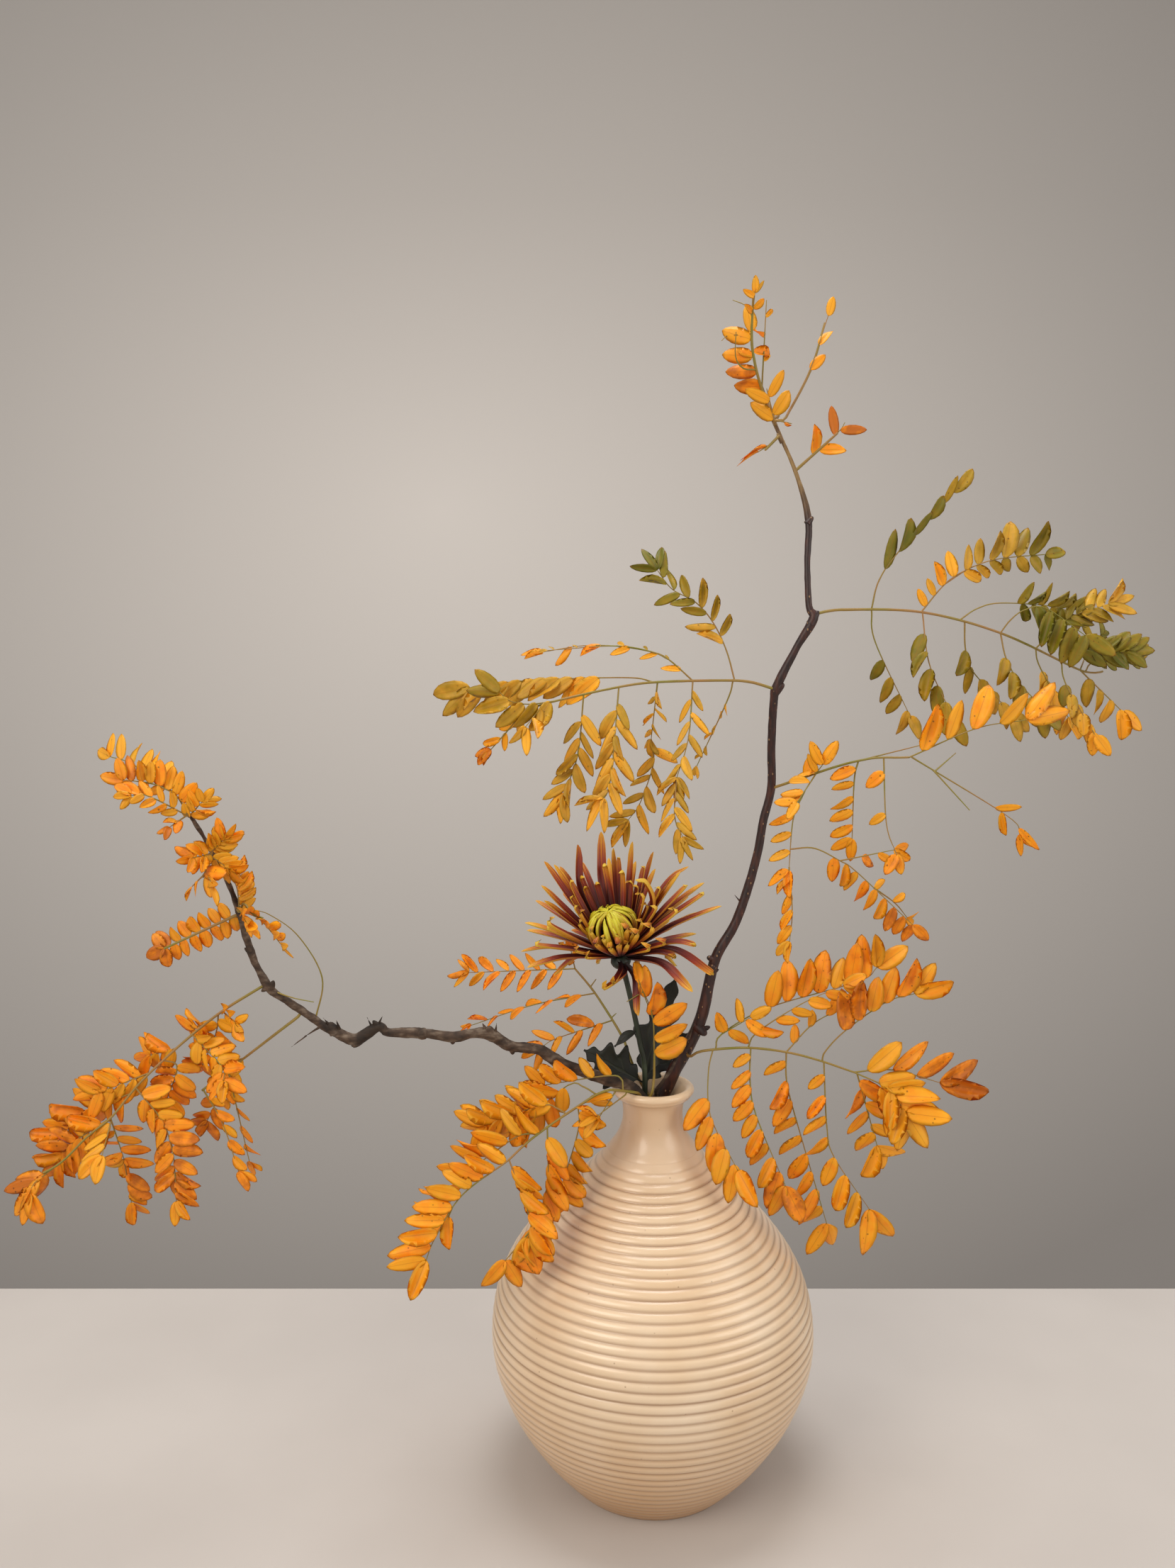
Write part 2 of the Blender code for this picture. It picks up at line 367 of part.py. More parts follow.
def smooth_path(points, spacing):
    """A smooth curve through the points, as places about spacing apart (Catmull-Rom)."""
    points = np.array(points, float)
    ends = np.vstack([2 * points[0] - points[1], points, 2 * points[-1] - points[-2]])
    places = []
    for a, b, c, d in zip(ends, ends[1:], ends[2:], ends[3:]):
        steps = max(1, round(float(np.linalg.norm(c - b)) / spacing))
        for t in np.arange(steps) / steps:
            places.append(0.5 * (2 * b + (c - a) * t + (2 * a - 5 * b + 4 * c - d) * t**2
                                 + (3 * b - 3 * c + d - a) * t**3))
    places.append(points[-1])
    return np.array(places)


def lengths_along(path):
    return np.r_[0, np.cumsum(np.linalg.norm(np.diff(path[:, :3], axis=0), axis=1))]


def place_at(path, share):
    """The place at this share of the path's length."""
    lengths = lengths_along(path)
    return np.array([np.interp(share * lengths[-1], lengths, column) for column in path.T])


def fine_line(bar):
    """The places and the radii along a bar of straight runs, given as (x, y, z, radius)."""
    lengths = lengths_along(bar)
    at = np.arange(0, lengths[-1], LINE_STEP)
    fine = np.column_stack([np.interp(at, lengths, column) for column in bar.T])
    return fine[:, :3], fine[:, 3]


def tube_mesh(name, path, radii, sides):
    """A round bar along the path, with its ends closed, as a mesh."""
    curve = bpy.data.curves.new(name, "CURVE")
    curve.dimensions = "3D"
    curve.bevel_depth = MM
    curve.bevel_resolution = (sides - 4) // 2
    curve.use_fill_caps = True
    spline = curve.splines.new("POLY")
    spline.points.add(len(path) - 1)
    for point, place, radius in zip(spline.points, path, radii):
        point.co = (*(place[:3] * MM), 1.0)
        point.radius = radius
    holder = bpy.data.objects.new(name, curve)
    HELPERS.objects.link(holder)
    graph = bpy.context.evaluated_depsgraph_get()
    mesh = bpy.data.meshes.new_from_object(holder.evaluated_get(graph))
    bpy.data.objects.remove(holder)
    shape = bmesh.new()
    shape.from_mesh(mesh)
    bmesh.ops.remove_doubles(shape, verts=shape.verts, dist=1e-6)
    shape.to_mesh(mesh)
    shape.free()
    return mesh


def strip_mesh(name, path, left, right, roll=0.0):
    """A flat blade along the path: how far it reaches to each side at each place, in a plane
    near the front view's, turned about the path by roll degrees."""
    shape = bmesh.new()
    turn = math.radians(roll)
    rows = []
    for i, place in enumerate(path):
        ahead = Vector(path[min(i + 1, len(path) - 1)] - path[max(i - 1, 0)]).normalized()
        side = Vector((-ahead.z, 0.0, ahead.x)).normalized()
        side = Matrix.Rotation(turn, 3, ahead) @ side
        middle = Vector(place)
        rows.append([shape.verts.new((middle + side * left[i]) * MM),
                     shape.verts.new((middle - side * right[i]) * MM)])
    for (a, b), (c, d) in zip(rows, rows[1:]):
        shape.faces.new((a, b, d, c))
    bmesh.ops.recalc_face_normals(shape, faces=shape.faces)
    mesh = bpy.data.meshes.new(name)
    shape.to_mesh(mesh)
    shape.free()
    return mesh


def thicken(piece, thickness):
    solid = piece.modifiers.new("Thickness", "SOLIDIFY")
    solid.thickness = thickness * MM
    solid.offset = 0.0


def join(piece, helper):
    union = piece.modifiers.new("Join " + helper.name, "BOOLEAN")
    union.operation = "UNION"
    union.solver = "EXACT"
    union.object = helper


def clear_of(path, host, radius):
    """The path from the place past which a bar of this radius, cut square, clears the host."""
    host_path, host_radii = host
    start = 0
    for i, place in enumerate(path[:-3]):
        distances = np.linalg.norm(host_path - place, axis=1) - host_radii
        nearest = distances.argmin()
        outward = place - host_path[nearest]
        ahead = path[i + 3] - place
        size = np.linalg.norm(outward) * np.linalg.norm(ahead)
        slant = np.linalg.norm(np.cross(outward, ahead)) / max(size, 1e-9)
        if distances[nearest] < GAP + radius * slant:
            start = i + 1
    return path[start:]


# ---- The bottle -----------------------------------------------------------------------
def make_vase():
    profile = VASE_OUTSIDE + [(FOOT_RADIUS, 0.0), (0.0, 0.0), (0.0, FLOOR)] + VASE_INSIDE
    mesh = bpy.data.meshes.new("vase")
    count = len(profile)
    mesh.from_pydata([(r * MM, 0.0, z * MM) for r, z in profile],
                     [(i, (i + 1) % count) for i in range(count)], [])
    mesh.update()
    vase = add_piece("vase", mesh, "vase", 0.25)
    screw = vase.modifiers.new("Turned", "SCREW")
    screw.axis = "Z"
    screw.steps = VASE_STEPS
    screw.render_steps = VASE_STEPS
    screw.use_merge_vertices = True
    screw.merge_threshold = 1e-5


# ---- The branches ---------------------------------------------------------------------
def make_branch(name, points, finish):
    """Returns the branch's line and radius at every half millimetre, for the leaves on it."""
    coarse = smooth_path(points, BRANCH_STEP)
    add_piece(name, tube_mesh(name, coarse, coarse[:, 3], BRANCH_SIDES), finish, 0.7)
    return fine_line(coarse)


def make_twig(host):
    path = clear_of(smooth_path(TWIG, 1.0), host, TWIG_RADIUS)[::TWIG_STEP]
    mesh = tube_mesh("bare_twig", path, [TWIG_RADIUS] * len(path), TWIG_SIDES)
    add_piece("bare_twig", mesh, "bark", 0.7)


# ---- The compound leaves --------------------------------------------------------------
def stalk_path(leaf, host):
    """The main stalk from its foot at the branch to its tip."""
    flat = smooth_path(leaf.stalk, 2.0)
    back = np.linspace(leaf.back_start, leaf.back_end, len(flat))
    path = np.column_stack([flat[:, 0], back, flat[:, 1]])
    if leaf.foot:
        foot = leaf.foot
    else:
        nearest = np.linalg.norm(host[0] - path[0], axis=1).argmin()
        foot = [host[0][nearest]]
    path = smooth_path(np.vstack([foot, path[::4], path[-1:]]), LINE_STEP)
    return clear_of(path, host, RACHIS_RADIUS)


def pinna_path(pinna, stalks):
    """The pinna's path, starting on the nearest stalk that the leaf already has."""
    start = pinna.path[0]
    parents = np.vstack(stalks)
    nearest = parents[np.hypot(parents[:, 0] - start[0], parents[:, 2] - start[1]).argmin()]
    flat = smooth_path([(nearest[0], nearest[2])] + pinna.path[1:], 1.0)
    share = lengths_along(flat)
    back = nearest[1] + pinna.lean * share / share[-1]
    return np.column_stack([flat[:, 0], back, flat[:, 1]])


def pinna_mesh(name, pinna, path, turn):
    """The pinna as one toothed blade, a tooth for three or four leaflets, or a bare stalk."""
    bare = pinna.first if pinna.count else BARE_SHARE
    shares = list(np.linspace(0.0, bare, math.ceil(bare / BARE_STEP) + 1))
    widths = [STALK_HALF] * len(shares)
    reach = pinna.length * math.sin(math.radians(pinna.spread)) + STALK_HALF
    teeth = math.ceil(pinna.count / (LONG_A_TOOTH if reach > LONG_LEAFLET else SHORT_A_TOOTH))
    step = (pinna.last - pinna.first) / max(teeth, 1)
    for k in range(teeth):
        shares += [pinna.first + step * (k + TOOTH_PEAK), pinna.first + step * (k + TOOTH_END)]
        widths += [reach, reach * TOOTH_NOTCH]
    shares += [1.0]
    widths += [STALK_HALF]
    places = np.array([place_at(path, min(share, 1.0 - 0.001 * (len(shares) - i)))
                       for i, share in enumerate(shares)])
    if pinna.count:
        ahead = path[-1] - place_at(path, 0.85)
        ahead = ahead / np.linalg.norm(ahead)
        forward = pinna.length * math.cos(math.radians(pinna.spread)) * TIP_SHARE
        places = np.vstack([places, places[-1] + ahead * max(forward, TIP_LEAST)])
        widths += [STALK_HALF]
    stalk = [STALK_HALF] * len(widths)
    left = widths if "L" in pinna.side else stalk
    right = widths if "R" in pinna.side else stalk
    return strip_mesh(name, places, left, right, pinna.roll + turn), places


def make_leaf(name, leaf, hosts):
    host = hosts[leaf.host]
    stalk = stalk_path(leaf, host)
    count = max(5, len(stalk) // round(RACHIS_STEP / LINE_STEP))
    bar = stalk[np.linspace(0, len(stalk) - 1, count).astype(int)]
    radii = np.linspace(RACHIS_RADIUS, RACHIS_TIP, len(bar))
    finish = LEAF_COLOURS.get(name, "orange")
    piece = add_piece(name, tube_mesh(name, bar, radii, RACHIS_SIDES), finish, 0.5)
    stalks = [fine_line(np.column_stack([bar, radii]))[0]]
    for number, pinna in enumerate(leaf.pinnae):
        turn = TURN_FIRST + TURN_STEP * (number % TURNS)
        mesh, places = pinna_mesh(name, pinna, pinna_path(pinna, stalks), turn)
        stalks.append(fine_line(np.column_stack([places, places[:, 0]]))[0])
        helper = add_helper(f"{name}_pinna_{number}", mesh)
        thicken(helper, BLADE)
        join(piece, helper)


# ---- The chrysanthemum ----------------------------------------------------------------
def flower_matrix():
    """From the flower's own frame, with +Z its axis, to the arrangement's, in millimetres."""
    return Matrix.Translation(FLOWER) @ FLOWER_AXIS.to_track_quat("Z", "Y").to_matrix().to_4x4()


def place_in_flower(mesh):
    mesh.transform(Matrix.Scale(MM, 4) @ flower_matrix())


def disc_mesh(name, radius, low, high):
    shape = bmesh.new()
    bmesh.ops.create_cone(shape, cap_ends=True, segments=16, radius1=radius, radius2=radius,
                          depth=high - low, matrix=Matrix.Translation((0, 0, (low + high) / 2)))
    mesh = bpy.data.meshes.new(name)
    shape.to_mesh(mesh)
    shape.free()
    place_in_flower(mesh)
    return mesh


def petal_path(whorl, number):
    """A petal's path in the flower's frame: it leaves the ring at one slope and bends evenly."""
    around = 2 * math.pi * (number + 0.5 * math.sin(5 * number)**2) / whorl.petals
    length = whorl.length * (1 - PETAL_VARIES + PETAL_VARIES * math.cos(7.3 * number))
    wander = PETAL_WANDER * math.sin(3.7 * number)
    out, up = RING_RADIUS - 3.0, whorl.ring * RING_HEIGHT + 0.9
    places = [(out, up)]
    for share, part in PETAL_BENDS:
        slope = math.radians(whorl.start + wander + (whorl.end - whorl.start) * share)
        out += math.cos(slope) * length * part
        up += math.sin(slope) * length * part
        places.append((out, up))
    return np.array([(r * math.cos(around), r * math.sin(around), z) for r, z in places])


def meets_front_leaf(path):
    fine = smooth_path(path, 2.0)
    return min((flower_matrix() @ Vector(place) - FRONT_LEAF_TIP).length for place in fine) < PETAL_CLEAR


def petal_mesh(name, path):
    """A narrow blade as wide across the flower's circle as the petal is."""
    shape = bmesh.new()
    across = Vector((-path[-1][1], path[-1][0], 0.0)).normalized()
    rows = [[shape.verts.new(Vector(place) + across * half * side) for side in (1, -1)]
            for place, half in zip(path, PETAL_HALVES)]
    for (a, b), (c, d) in zip(rows, rows[1:]):
        shape.faces.new((a, b, d, c))
    mesh = bpy.data.meshes.new(name)
    shape.to_mesh(mesh)
    shape.free()
    place_in_flower(mesh)
    return mesh


def make_whorl(name, whorl):
    low = whorl.ring * RING_HEIGHT
    piece = add_piece(name, disc_mesh(name, RING_RADIUS, low, low + RING_HEIGHT - GAP), "petal", 0.5)
    for number in range(whorl.petals):
        path = petal_path(whorl, number)
        if meets_front_leaf(path):
            continue
        helper = add_helper(f"{name}_{number}", petal_mesh(name, path))
        thicken(helper, BLADE)
        join(piece, helper)


def make_heart():
    """The ball of young petals, on a short neck that stands on the inner whorl."""
    low = len(WHORLS) * RING_HEIGHT
    heart = add_piece("mum_heart", disc_mesh("mum_heart", HEART_NECK, low, HEART_HEIGHT), "heart", 0.5)
    shape = bmesh.new()
    bmesh.ops.create_uvsphere(shape, u_segments=16, v_segments=10, radius=HEART_RADIUS,
                              matrix=Matrix.Translation((0, 0, HEART_HEIGHT)))
    mesh = bpy.data.meshes.new("mum_heart_ball")
    shape.to_mesh(mesh)
    shape.free()
    place_in_flower(mesh)
    join(heart, add_helper("mum_heart_ball", mesh))


def make_receptacle():
    """The green cup under the petals, where the stem swells."""
    shape = bmesh.new()
    bmesh.ops.create_cone(shape, cap_ends=True, segments=CUP_SIDES, radius1=CUP_FOOT, radius2=CUP_TOP,
                          depth=CUP_HEIGHT, matrix=Matrix.Translation((0, 0, -GAP - CUP_HEIGHT / 2)))
    mesh = bpy.data.meshes.new("mum_receptacle")
    shape.to_mesh(mesh)
    shape.free()
    place_in_flower(mesh)
    add_piece("mum_receptacle", mesh, "stem", 0.5)


def make_mum_stem():
    top = FLOWER - FLOWER_AXIS * (CUP_HEIGHT + 2 * GAP)
    path = smooth_path(MUM_STEM + [tuple(top - FLOWER_AXIS * 12), tuple(top)], MUM_STEM_STEP)
    mesh = tube_mesh("mum_stem", path, [MUM_STEM_RADIUS] * len(path), MUM_STEM_SIDES)
    add_piece("mum_stem", mesh, "stem", 0.5)
    fine = smooth_path(path, LINE_STEP)
    return fine, np.full(len(fine), MUM_STEM_RADIUS)


def make_mum_leaf(name, midrib, half, host):
    """A leaf with three pairs of lobes, on a short stalk that starts at the stem."""
    path = clear_of(smooth_path(midrib, LINE_STEP), host, BLADE)
    shares = np.linspace(0, 1, MUM_LEAF_PLACES)
    places = np.array([place_at(path, share) for share in shares])
    body = np.sin(math.pi * np.clip((shares - MUM_LEAF_STALK) / (1 - MUM_LEAF_STALK), 0, 1) ** 0.8)
    lobes = 0.72 + 0.28 * np.cos(2 * math.pi * MUM_LEAF_LOBES * shares)
    widths = np.maximum(half * body * lobes, 0.7)
    leaf = add_piece(name, strip_mesh(name, places, widths, widths), "mum_leaf", 0.5)
    thicken(leaf, BLADE)


# ---- The whole arrangement ------------------------------------------------------------
clear_scene()
PIECES = new_collection("ikebana_arrangement")
HELPERS = new_collection("cutters")
make_vase()
branches = {
    "tall_branch": make_branch("tall_branch", TALL_BRANCH, "bark"),
    "left_branch": make_branch("left_branch", LEFT_BRANCH, "grey_bark"),
}
make_twig(branches["tall_branch"])
for leaf_name, leaf_row in LEAVES.items():
    make_leaf(leaf_name, leaf_row, branches)
mum_stem = make_mum_stem()
make_receptacle()
for whorl_name, whorl_row in WHORLS.items():
    make_whorl(whorl_name, whorl_row)
make_heart()
for mum_leaf_name, (mum_midrib, mum_half) in MUM_LEAVES.items():
    make_mum_leaf(mum_leaf_name, mum_midrib, mum_half, mum_stem)
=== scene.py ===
"""The looks of the ikebana arrangement: two bare branches with compound leaves and one spider
chrysanthemum, standing in a ribbed, long-necked stoneware bottle.

Millimetres in the tables, metres in the scene. +Z up; the origin is the centre of the
bottle's foot, -Y is the front and -X is the side that the long branch reaches over.
"""

import json
import math
from collections import namedtuple

import bmesh
import bpy
import numpy as np
from mathutils import Matrix, Vector

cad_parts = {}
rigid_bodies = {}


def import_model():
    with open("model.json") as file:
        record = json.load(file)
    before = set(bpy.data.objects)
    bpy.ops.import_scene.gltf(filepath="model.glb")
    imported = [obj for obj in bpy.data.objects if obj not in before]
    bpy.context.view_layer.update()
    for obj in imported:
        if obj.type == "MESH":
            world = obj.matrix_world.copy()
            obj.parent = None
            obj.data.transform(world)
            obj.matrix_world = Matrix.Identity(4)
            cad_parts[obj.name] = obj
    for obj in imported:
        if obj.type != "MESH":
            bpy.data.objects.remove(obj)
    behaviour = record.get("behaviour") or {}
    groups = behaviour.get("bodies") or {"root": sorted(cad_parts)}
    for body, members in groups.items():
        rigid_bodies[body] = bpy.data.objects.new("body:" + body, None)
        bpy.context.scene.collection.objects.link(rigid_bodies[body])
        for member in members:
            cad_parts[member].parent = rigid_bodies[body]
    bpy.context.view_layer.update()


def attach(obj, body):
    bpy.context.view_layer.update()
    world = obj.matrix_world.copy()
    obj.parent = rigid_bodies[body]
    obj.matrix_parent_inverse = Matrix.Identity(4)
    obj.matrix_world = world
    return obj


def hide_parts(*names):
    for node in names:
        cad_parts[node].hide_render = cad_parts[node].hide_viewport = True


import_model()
MM = 0.001


# ---- The table, the wall and the lamps -------------------------------------------------
# The arrangement stands near the back edge of a pale, matt painted table, some way before a
# plain grey wall. Large soft lamps stand at the front left, at the right and overhead.
def linear(code):
    """An sRGB hex colour as the linear colour and alpha that a shader takes."""
    parts = [int(code[i:i + 2], 16) / 255 for i in (1, 3, 5)]
    return (*[p / 12.92 if p <= 0.04045 else ((p + 0.055) / 1.055) ** 2.4 for p in parts], 1.0)


def fill(tree, node, inputs):
    """Sets a node's inputs, given by name or in the sockets' order. A plain value is set; an
    output, a node (its first output in use) or each of a list of these is linked."""
    for name, value in inputs.items() if isinstance(inputs, dict) else enumerate(inputs):
        for source in value if isinstance(value, list) else [value]:
            if isinstance(source, bpy.types.Node):
                source = next(output for output in source.outputs if output.enabled)
            if isinstance(source, bpy.types.NodeSocket):
                tree.links.new(source, node.inputs[name])
            else:
                node.inputs[name].default_value = source


def add_node(tree, kind, inputs=(), **settings):
    """Adds a node with its settings and its inputs. Its kind leaves out Blender's first word."""
    whole = (first + kind for first in ("ShaderNode", "GeometryNode", "FunctionNode", "Node"))
    made = tree.nodes.new(next(name for name in whole if hasattr(bpy.types, name)))
    for name, value in settings.items():
        setattr(made, name, value)
    fill(tree, made, inputs)
    return made


def new_material(name, **sockets):
    """A material with one shader, whose sockets are set from their names with _ for a space."""
    made = bpy.data.materials.new(name)
    made.use_nodes = True
    shader = made.node_tree.nodes["Principled BSDF"]
    for socket, value in sockets.items():
        shader.inputs[socket.replace("_", " ")].default_value = value
    return made, made.node_tree, shader


def colour_ramp(tree, factor, stops):
    """A run of hex colours at shares from 0 to 1."""
    ramp = add_node(tree, "ValToRGB", {"Fac": factor})
    while len(ramp.color_ramp.elements) < len(stops):
        ramp.color_ramp.elements.new(1.0)
    for element, (share, code) in zip(ramp.color_ramp.elements, stops):
        element.position = share
        element.color = linear(code)
    return ramp


def add_object(name, data):
    made = bpy.data.objects.new(name, data)
    bpy.context.scene.collection.objects.link(made)
    return made


def mesh_of(name, points, faces):
    """A mesh from points in metres."""
    mesh = bpy.data.meshes.new(name)
    mesh.from_pydata([tuple(point) for point in points], [], faces)
    mesh.update()
    return mesh


TABLE_BACK, TABLE_FRONT, TABLE_HALF, TABLE_THICK = 254, -1600, 1500, 30
WALL_BACK, WALL_HALF, WALL_LOW, WALL_HIGH = 2300, 4500, -1800, 3600

corners = [(x, y, z) for x in (-TABLE_HALF, TABLE_HALF) for y in (TABLE_FRONT, TABLE_BACK)
           for z in (-TABLE_THICK, 0)]
table = add_object("table", mesh_of("table", np.array(corners) * MM, [
    (0, 1, 3, 2), (4, 6, 7, 5), (0, 4, 5, 1), (2, 3, 7, 6), (1, 5, 7, 3), (0, 2, 6, 4)]))
wall = add_object("wall", mesh_of("wall", np.array([
    (-WALL_HALF, WALL_BACK, WALL_LOW), (WALL_HALF, WALL_BACK, WALL_LOW),
    (WALL_HALF, WALL_BACK, WALL_HIGH), (-WALL_HALF, WALL_BACK, WALL_HIGH)]) * MM, [(0, 1, 2, 3)]))

# Matt table paint: pale warm grey, with hardly any gloss and a faint unevenness of the roller.
table_paint, tree, shader = new_material("matt_table_paint", Roughness=0.75)
spot = add_node(tree, "TexCoord").outputs["Object"]
mottle = add_node(tree, "TexNoise", {"Vector": spot, "Scale": 6.0, "Detail": 3.0})
fill(tree, shader, {"Base Color": colour_ramp(tree, mottle, [(0.35, "#C5BEB8"),
    (0.65, "#C9C2BC")])})
table.data.materials.append(table_paint)

# Wall paint: mid grey, with a painted pool of lamp light that makes it a little warmer and lighter
# in the middle.
wall_paint, tree, shader = new_material("matt_wall_paint", Roughness=0.9)
spot = add_node(tree, "TexCoord").outputs["Object"]
centred = add_node(tree, "Mapping", {"Vector": spot, "Location": (0.14, 0.0, -0.42),
    "Scale": (0.33, 0.0, 0.42)})
# The spherical gradient is a painted pool of lamp light: the wall is lighter in the middle.
painted_lamp_pool = add_node(tree, "TexGradient", {"Vector": centred}, gradient_type="SPHERICAL")
fill(tree, shader, {"Base Color": colour_ramp(tree, painted_lamp_pool.outputs["Fac"],
    [(0.0, "#9A948F"), (0.45, "#BEB8B2"), (1.0, "#E4DDD6")])})
wall.data.materials.append(wall_paint)

# Lamps: place, what each points at, size and power in watts, and colour.
LAMPS = {
    "front_left": ((-1300, -1500, 1500), (0, 0, 350), 1300, 22, "#FFF4E6"),
    "right": ((1500, -900, 900), (0, 0, 400), 1200, 9, "#FFF8F0"),
    "overhead": ((0, 100, 1900), (0, 0, 200), 900, 14, "#FFFFFF"),
}
for lamp_name, (place, target, size, power, code) in LAMPS.items():
    lamp = bpy.data.lights.new(lamp_name, "AREA")
    lamp.shape = "DISK"
    lamp.size = size * MM
    lamp.energy = power
    lamp.color = linear(code)[:3]
    holder = add_object(lamp_name, lamp)
    holder.location = Vector(place) * MM
    holder.rotation_euler = (Vector(place) - Vector(target)).to_track_quat("Z", "Y").to_euler()

world = bpy.data.worlds.new("studio")
world.use_nodes = True
world.node_tree.nodes["Background"].inputs["Color"].default_value = linear("#E8E6E4")
world.node_tree.nodes["Background"].inputs["Strength"].default_value = 0.70
bpy.context.scene.world = world
bpy.context.scene.view_settings.view_transform = "Standard"

# The camera stands at the table's front, a little above the flower and tipped down at the bottle.
camera = bpy.data.cameras.new("camera")
camera.lens = 27.67
camera.sensor_width = 36.0
camera_holder = add_object("camera", camera)
camera_holder.location = (-0.0475, -0.850, 0.590)
camera_holder.rotation_euler = (math.radians(84.6), 0.0, 0.0)
bpy.context.scene.camera = camera_holder


# ---- The bottle ------------------------------------------------------------------------
# A bottle thrown in pale stoneware. The potter's rib left about forty rounded ridges below
# the smooth neck, under a satin cream glaze, and the grooves between them have painted shade.
# The outside, from the rolled rim down to the foot, as (radius, height).
BOTTLE_OUTSIDE = [
    (25.0, 290.4), (27.0, 291.0), (29.4, 289.4), (29.6, 287.0), (28.0, 285.2), (27.6, 284.2),
    (26.4, 283.0), (23.4, 281.0), (21.8, 274.0), (22.3, 264.0), (26.2, 253.5), (34.0, 243.0),
    (46.0, 230.0), (60.7, 215.0), (83.5, 190.0), (105.2, 160.0), (115.8, 130.0), (116.8, 95.0),
    (105.6, 60.0), (87.6, 30.0), (71.6, 10.0), (63.5, 1.2), (61.8, 0.0),
]
# The inside, from the middle of the floor up to the rim.
BOTTLE_INSIDE = [
    (0.0, 8.0), (30.0, 8.0), (58.0, 8.0), (67.0, 12.0), (83.0, 31.0), (100.5, 60.5),
    (111.6, 95.0), (110.7, 129.0), (100.4, 157.5), (79.2, 186.8), (56.6, 211.6), (29.9, 239.6),
    (17.4, 262.4), (16.6, 273.0), (19.6, 281.4), (23.0, 288.6),
]
BOTTLE_STEPS = 144
RIBS_BELOW = 250.0    # the height where the ridges begin, under the neck
RIB_PITCH, RIB_DEPTH, RIB_FADE = 7.0, 1.45, 26.0
RIB_ROUNDNESS = 0.55       # below 1, so that a ridge is broad and a groove is narrow


def smooth_path(points, spacing):
    """A smooth curve through the points, as places about spacing apart (Catmull-Rom)."""
    points = np.array(points, float)
    ends = np.vstack([2 * points[0] - points[1], points, 2 * points[-1] - points[-2]])
    places = []
    for a, b, c, d in zip(ends, ends[1:], ends[2:], ends[3:]):
        steps = max(1, round(float(np.linalg.norm(c - b)) / spacing))
        for t in np.arange(steps) / steps:
            places.append(0.5 * (2 * b + (c - a) * t + (2 * a - 5 * b + 4 * c - d) * t**2
                                 + (3 * b - 3 * c + d - a) * t**3))
    places.append(points[-1])
    return np.array(places)


def lengths_along(path):
    return np.r_[0, np.cumsum(np.linalg.norm(np.diff(path[:, :3], axis=0), axis=1))]


def curves_through(name, runs):
    """Curves of straight runs, each through rows of (x, y, z) and perhaps a radius."""
    curve = bpy.data.curves.new(name, "CURVE")
    curve.dimensions = "3D"
    for run in runs:
        spline = curve.splines.new("POLY")
        spline.points.add(len(run) - 1)
        for point, (x, y, z, *radius) in zip(spline.points, run):
            point.co = (x * MM, y * MM, z * MM, 1.0)
            point.radius = radius[0] * MM if radius else 1.0
    return curve


def new_nodes(name, **inputs):
    """A geometry tree with an input socket for each size, given as its socket type."""
    tree = bpy.data.node_groups.new(name, "GeometryNodeTree")
    tree.interface.new_socket("Geometry", in_out="INPUT", socket_type="NodeSocketGeometry")
    tree.interface.new_socket("Geometry", in_out="OUTPUT", socket_type="NodeSocketGeometry")
    for socket, kind in inputs.items():
        tree.interface.new_socket(socket.replace("_", " "), in_out="INPUT",
                                  socket_type="NodeSocket" + kind)
    return tree, add_node(tree, "GroupInput").outputs


def grown(tree, source, **sizes):
    """The plain mesh that a geometry tree makes of a mesh or a curve with these sizes."""
    holder = add_object("holder", source)
    modifier = holder.modifiers.new("Nodes", "NODES")
    modifier.node_group = tree
    for item in tree.interface.items_tree:
        if item.in_out == "INPUT" and item.name.replace(" ", "_") in sizes:
            modifier[item.identifier] = sizes[item.name.replace(" ", "_")]
    graph = bpy.context.evaluated_depsgraph_get()
    mesh = bpy.data.meshes.new_from_object(holder.evaluated_get(graph))
    for empty in [i for i, material in enumerate(mesh.materials) if material is None][::-1]:
        mesh.materials.pop(index=empty)
    bpy.data.objects.remove(holder)
    return mesh


def end_tree(tree, geometry, material):
    """The end of a geometry tree: real, smooth faces with their material."""
    for kind in ("SetShadeSmooth", "RealizeInstances"):
        geometry = add_node(tree, kind, (geometry,))
    geometry = add_node(tree, "SetMaterial", {"Geometry": geometry, "Material": material})
    add_node(tree, "GroupOutput", (geometry,))


def stand_for(piece, node):
    """A piece that is shown in place of a solid part."""
    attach(piece, "root")
    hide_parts(node)


# Turns the profile round +Z, after it has pressed the ridges into it.
turning, sizes = new_nodes("turned_bottle", Steps="Int", Rib_pitch="Float", Rib_depth="Float",
                           Ribs_from="Float", Ribs_to="Float", Fade="Float", Glaze="Material")
spline = add_node(turning, "SplineParameter").outputs["Length"]
into = add_node(turning, "Math", (spline, sizes["Ribs from"]), operation="SUBTRACT")
left = add_node(turning, "Math", (sizes["Ribs to"], spline), operation="SUBTRACT")
rib = into
for operation, by in (("DIVIDE", sizes["Rib pitch"]), ("MULTIPLY", math.pi), ("SINE", 0.0),
                      ("ABSOLUTE", 0.0), ("POWER", RIB_ROUNDNESS)):
    rib = add_node(turning, "Math", (rib, by), operation=operation)
fade_in = add_node(turning, "MapRange", (into, 0.0, sizes["Fade"]))
fade_out = add_node(turning, "MapRange", (left, 0.0, sizes["Rib pitch"]))
fade = add_node(turning, "Math", (fade_in, fade_out), operation="MULTIPLY")
groove = add_node(turning, "Math", (1.0, rib), operation="SUBTRACT")
groove = add_node(turning, "Math", (groove, fade), operation="MULTIPLY")
depth = add_node(turning, "Math", (groove, sizes["Rib depth"]), operation="MULTIPLY")
tangent = add_node(turning, "InputTangent")
